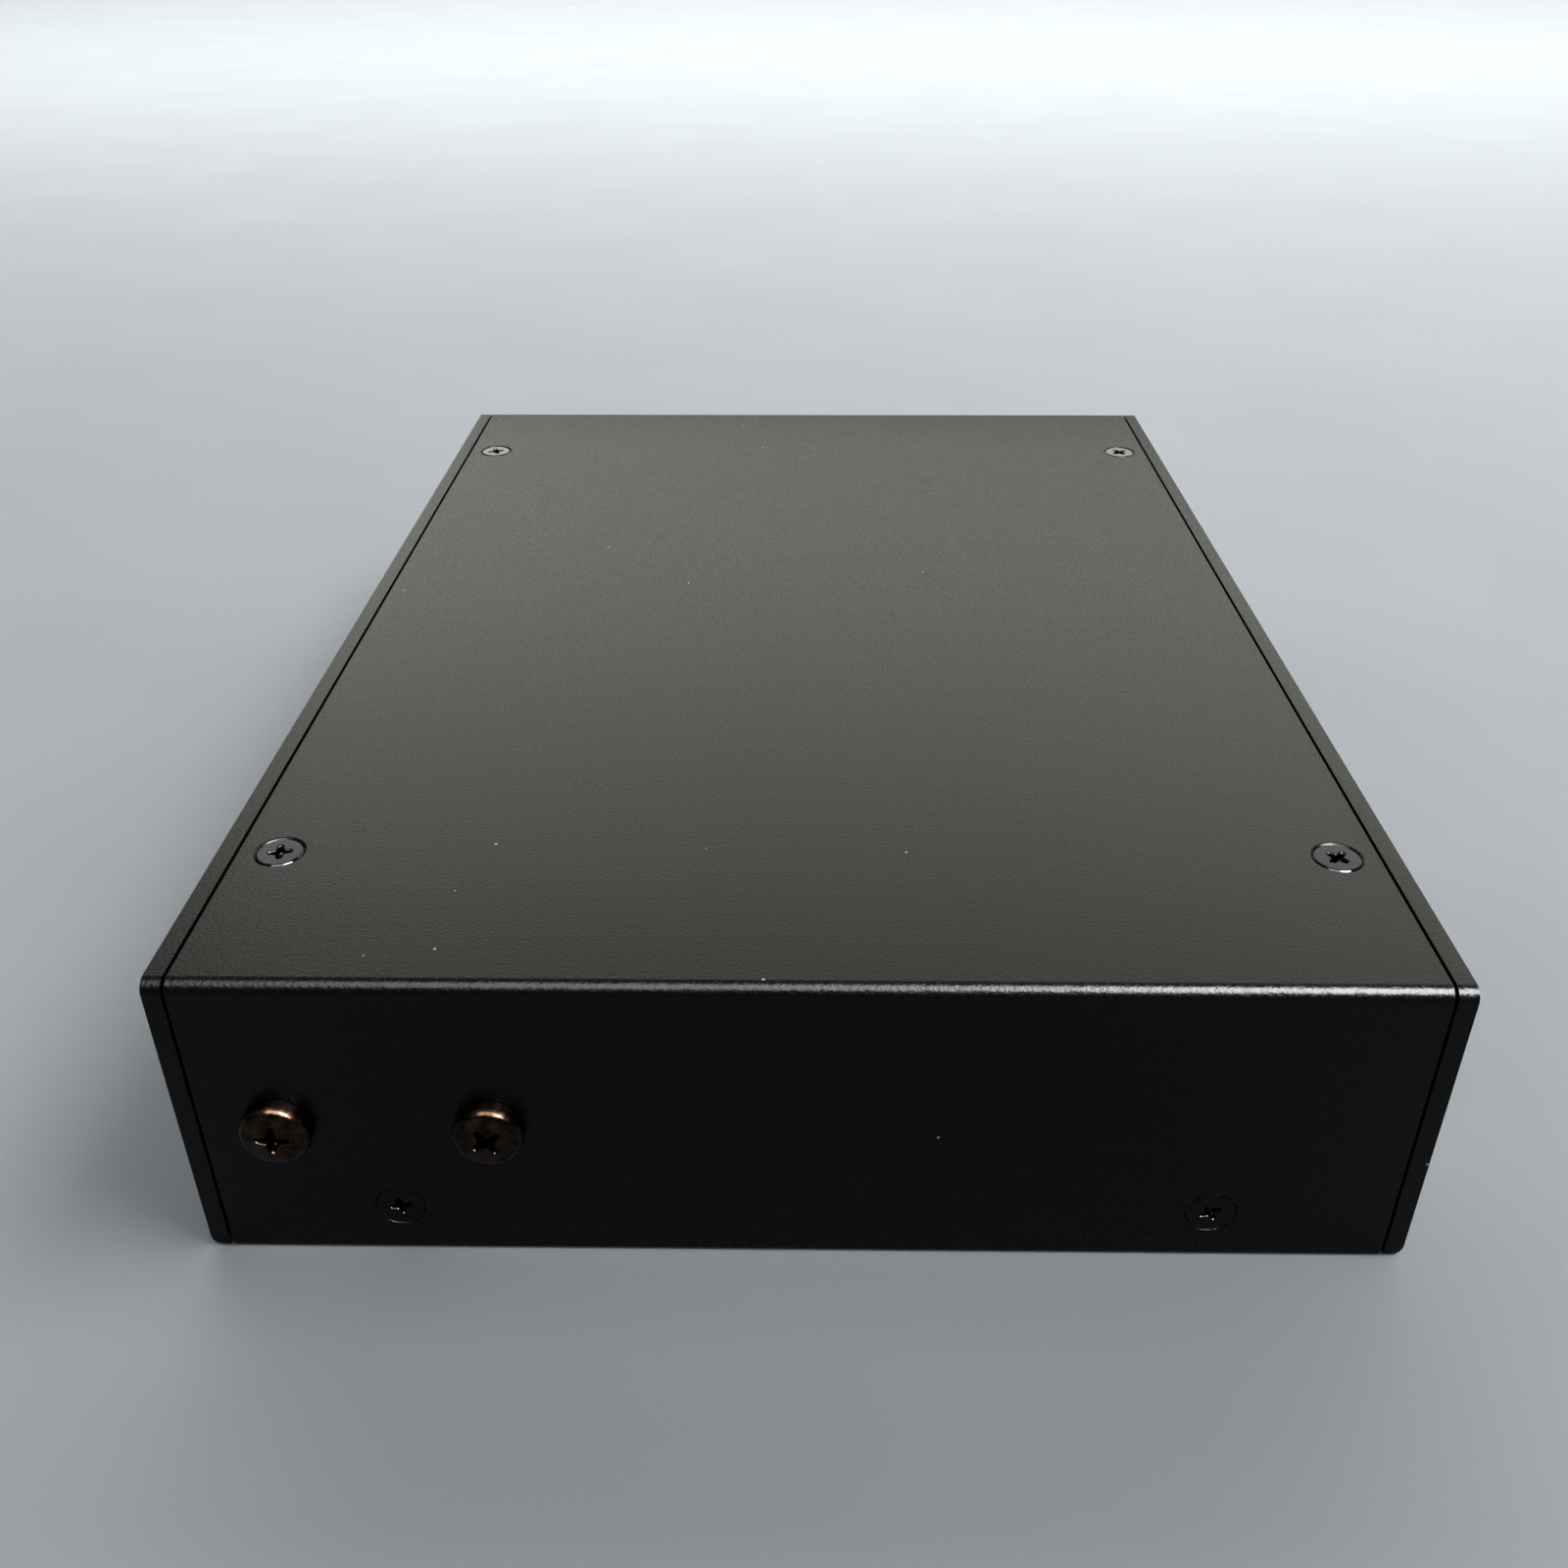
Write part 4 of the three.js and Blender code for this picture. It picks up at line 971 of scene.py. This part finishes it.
class APPLIANCE_OT_cover(BuildStep, bpy.types.Operator):
    """Bend and drill the top cover"""

    bl_idname = "appliance.cover"
    bl_label = "Top cover"

    def execute(self, context):
        piece = bent_cover()
        place(piece, powder_coat(), stands_for=["top_cover"])
        break_edges(piece, sizes().edge / MM)
        return {"FINISHED"}


class APPLIANCE_OT_chassis(BuildStep, bpy.types.Operator):
    """Bend the tray and end panels and cut their openings"""

    bl_idname = "appliance.chassis"
    bl_label = "Base chassis"

    def execute(self, context):
        piece = bent_chassis()
        place(piece, powder_coat(), stands_for=["base_chassis"])
        break_edges(piece, sizes().edge / MM)
        return {"FINISHED"}


# How far each screw's recess is turned, in radians.
TOP_SPINS = (0.2, 0.75, 0.4, 0.62)
SIDE_SPINS = (0.2, 0.45, 1.0, 0.1)
EAR_SPINS = (-0.05, 0.6, 1.1, 0.3)
GROUND_SPIN = 0.4


class APPLIANCE_OT_screws(BuildStep, bpy.types.Operator):
    """Turn the countersunk cover screws and the pan-head ear screws"""

    bl_idname = "appliance.screws"
    bl_label = "Screws"

    def execute(self, context):
        for node, spin in zip(TOP_SCREWS, TOP_SPINS):
            piece = flat_screw(node + "_turned", node, "+z", spin, -TOP_SUNK)
            place(piece, black_zinc(), stands_for=[node])
        for node, spin in zip(SIDE_SCREWS, SIDE_SPINS):
            piece = flat_screw(node + "_turned", node, sideways(node), spin, 0.0)
            place(piece, black_zinc(), stands_for=[node])
        for node, spin in zip(EAR_SCREWS, EAR_SPINS):
            piece = pan_screw(node + "_turned", head_centre(node, sideways(node)), sideways(node), spin)
            place(piece, tarnished_steel(), stands_for=[node])
        at = head_centre("ground_screw", "+x") + np.array([span("ground_washer")[1][0] - HALF_X, 0, 0])
        piece = pan_screw("ground_screw_turned", at, "+x", GROUND_SPIN)
        place(piece, nickel_plate(), stands_for=["ground_screw"])
        return {"FINISHED"}


# The ground washer's section, (radius, height) from the panel, with a bevel on each edge that shows.
WASHER_RING = [
    (2.15, 0.05), (4.5, 0.05), (4.6, 0.15), (4.6, 0.65), (4.5, 0.75), (2.25, 0.75), (2.15, 0.65), (2.15, 0.05)
]


def pipe_profile():
    """A light pipe: a long stem, a collar behind the panel and a domed end, 1.5 * cos, 0.15 + 0.5 * sin."""
    long, stem, collar, face = 23.6, 1.2, 2.2, 1.5
    collar_back, collar_front = -3.2, -2.05
    dome = [(face * math.cos(a), 0.15 + 0.5 * math.sin(a)) for a in np.linspace(0, math.pi / 2, 10)]
    return [
        (0, -long), (stem, -long), (stem, collar_back), (collar, collar_back), (collar, collar_front),
        (face, collar_front), *dome,
    ]


class APPLIANCE_OT_lights(BuildStep, bpy.types.Operator):
    """Turn the domed light pipes and the ground washer"""

    bl_idname = "appliance.lights"
    bl_label = "Light pipes and washer"

    def execute(self, context):
        for pipe in LIGHT_PIPES:
            at = middle(pipe)
            at[0] = -HALF_X
            piece = mesh_of(pipe + "_moulded", [turned(pipe_profile(), "-x", at, 40)])
            place(piece, clear_polycarbonate(), stands_for=[pipe])
        at = head_centre("ground_washer", "+x")
        piece = mesh_of("ground_washer_turned", [turned(WASHER_RING, "+x", at, 72)])
        place(piece, nickel_plate(), stands_for=["ground_washer"])
        return {"FINISHED"}


# A contact wire's run: how far in from the jack's mouth, and how high over the mouth's floor.
WIRE_IN = np.array([3.2, 4.0, 11.0, 13.5])
WIRE_UP = np.array([5.9, 6.5, 3.6, 3.1])
MOUTH_FLOOR = 3.6  # from a jack's underside
LINK_LIGHT = {"from_middle": 5.7, "half": 1.4, "deep": 0.4, "proud": 0.12, "foot": 2.3, "head": 0.9}
USB_FLOORS = (1.3, 9.2)
USB_STRIP = {"count": 4, "pitch": 2.3, "half": 0.5, "up": 2.5, "back": 11, "front": 2.6}


def contact_wires(node, low_z, count=8, pitch=1.02):
    """Spring wires of a modular jack: a rectangular section carried in from the mouth, down to the rear."""
    low, high = span(node)
    mid = (low[1] + high[1]) / 2
    parts = []
    for i in range(count):
        y = mid + (i - (count - 1) / 2) * pitch
        x, z = high[0] - WIRE_IN, low_z + WIRE_UP
        ring = np.array([(-0.16, -0.12), (0.16, -0.12), (0.16, 0.12), (-0.16, 0.12)])
        points = np.zeros((len(x), 4, 3))
        points[..., 0] = x[:, None]
        points[..., 1] = y + ring[:, 0]
        points[..., 2] = z[:, None] + ring[:, 1]
        parts.append((points.reshape(-1, 3), grid_faces(len(x), 4, True) + [[3, 2, 1, 0], [12, 13, 14, 15]]))
    return parts


def link_light(jack, side):
    """The small window in a network jack's upper corner, to one side of its middle."""
    high, light = span(jack)[1], LINK_LIGHT
    y = middle(jack)[1] + side * light["from_middle"]
    return brick(
        (high[0] - light["deep"], y - light["half"], high[2] - light["foot"]),
        (high[0] + light["proud"], y + light["half"], high[2] - light["head"]),
    )


def usb_strips():
    """The flat contacts of the stacked socket, one row over each floor."""
    low, high = span("usb_socket")
    strip, strips = USB_STRIP, []
    for floor in USB_FLOORS:
        for i in range(strip["count"]):
            y = (low[1] + high[1]) / 2 + (i - (strip["count"] - 1) / 2) * strip["pitch"]
            z = low[2] + floor + strip["up"]
            back, front = high[0] - strip["back"], high[0] - strip["front"]
            strips.append(brick((back, y - strip["half"], z - 0.12), (front, y + strip["half"], z - 0.02)))
    return strips


class APPLIANCE_OT_sockets(BuildStep, bpy.types.Operator):
    """Finish the sockets in the rear panel and fit their contacts and link lights"""

    bl_idname = "appliance.sockets"
    bl_label = "Sockets"

    def execute(self, context):
        green = link_window("smoked green window", 0x1F4A22, 0x2F6A30)
        amber = link_window("smoked amber window", 0x6A4A12, 0x8C661C)
        for jack in JACKS:
            shielded = jack != "console_jack"
            dress(jack, nickel_shell() if shielded else black_nylon(), 0.12)
            floor = span(jack)[0][2] + MOUTH_FLOOR
            place(mesh_of(jack + "_contacts", contact_wires(jack, floor)), gold_flash())
            if shielded:
                for side, name, material in ((-1, "link", green), (1, "speed", amber)):
                    piece = mesh_of(f"{jack}_{name}_light", [link_light(jack, side)])
                    place(piece, material)
                    break_edges(piece, 0.1)
        dress("usb_socket", nickel_shell(), 0.08)
        place(mesh_of("usb_contacts", usb_strips()), gold_flash())
        dress("dc_socket", black_nylon(), 0.15)
        return {"FINISHED"}


class APPLIANCE_OT_controls(BuildStep, bpy.types.Operator):
    """Finish the power switch and the reset button"""

    bl_idname = "appliance.controls"
    bl_label = "Switch and button"

    def execute(self, context):
        dress("power_switch_housing", black_nylon(), 0.3)
        dress("power_rocker", black_nylon(), 0.35)
        dress("reset_plunger", natural_nylon(), 0.25)
        dress("reset_switch", black_nylon(), 0.15)
        return {"FINISHED"}


class APPLIANCE_OT_inside(BuildStep, bpy.types.Operator):
    """Finish the main board and everything on it"""

    bl_idname = "appliance.inside"
    bl_label = "Inside"

    def execute(self, context):
        small_screws = numbered("board_screw", 4) + numbered("heat_sink_screw", 2)
        finishes = {
            solder_mask: ["main_board", "memory_module", "storage_card"],
            moulded_epoxy: ["processor", "choke_1", "choke_2"],
            silicone_pad: ["thermal_pad"],
            bare_aluminium: ["heat_sink", "capacitor"],
            nickel_plate: ["coin_cell", "storage_screw"] + small_screws,
            turned_brass: numbered("board_standoff", 4),
            black_nylon: ["memory_socket", "storage_socket", "battery_holder", "switch_lead_2"],
            natural_nylon: ["switch_header"],
            red_vinyl: ["switch_lead_1"],
        }
        for finish, nodes in finishes.items():
            for node in nodes:
                dress(node, finish(), 0.1)
        return {"FINISHED"}


STEPS = [
    APPLIANCE_OT_stage,
    APPLIANCE_OT_cover,
    APPLIANCE_OT_chassis,
    APPLIANCE_OT_screws,
    APPLIANCE_OT_lights,
    APPLIANCE_OT_sockets,
    APPLIANCE_OT_controls,
    APPLIANCE_OT_inside,
]


class APPLIANCE_PT_build(bpy.types.Panel):
    bl_label = "Firewall appliance"
    bl_space_type = "VIEW_3D"
    bl_region_type = "UI"
    bl_category = "Appliance"

    def draw(self, context):
        for group in (context.scene.case_sizes, context.scene.screw_sizes, context.scene.colours):
            for key in group.__annotations__:
                self.layout.prop(group, key)
        for made in STEPS:
            self.layout.operator(made.bl_idname)


CLASSES = [CaseSizes, ScrewSizes, Colours, *STEPS, APPLIANCE_PT_build]


def register():
    for made in CLASSES:
        bpy.utils.register_class(made)
    bpy.types.Scene.case_sizes = bpy.props.PointerProperty(type=CaseSizes)
    bpy.types.Scene.screw_sizes = bpy.props.PointerProperty(type=ScrewSizes)
    bpy.types.Scene.colours = bpy.props.PointerProperty(type=Colours)


def unregister():
    del bpy.types.Scene.colours
    del bpy.types.Scene.screw_sizes
    del bpy.types.Scene.case_sizes
    for made in reversed(CLASSES):
        bpy.utils.unregister_class(made)


def main():
    """Builds everything."""
    register()
    for made in STEPS:
        group, name = made.bl_idname.split(".")
        getattr(getattr(bpy.ops, group), name)()
    bpy.context.view_layer.update()


if __name__ == "__main__":
    main()
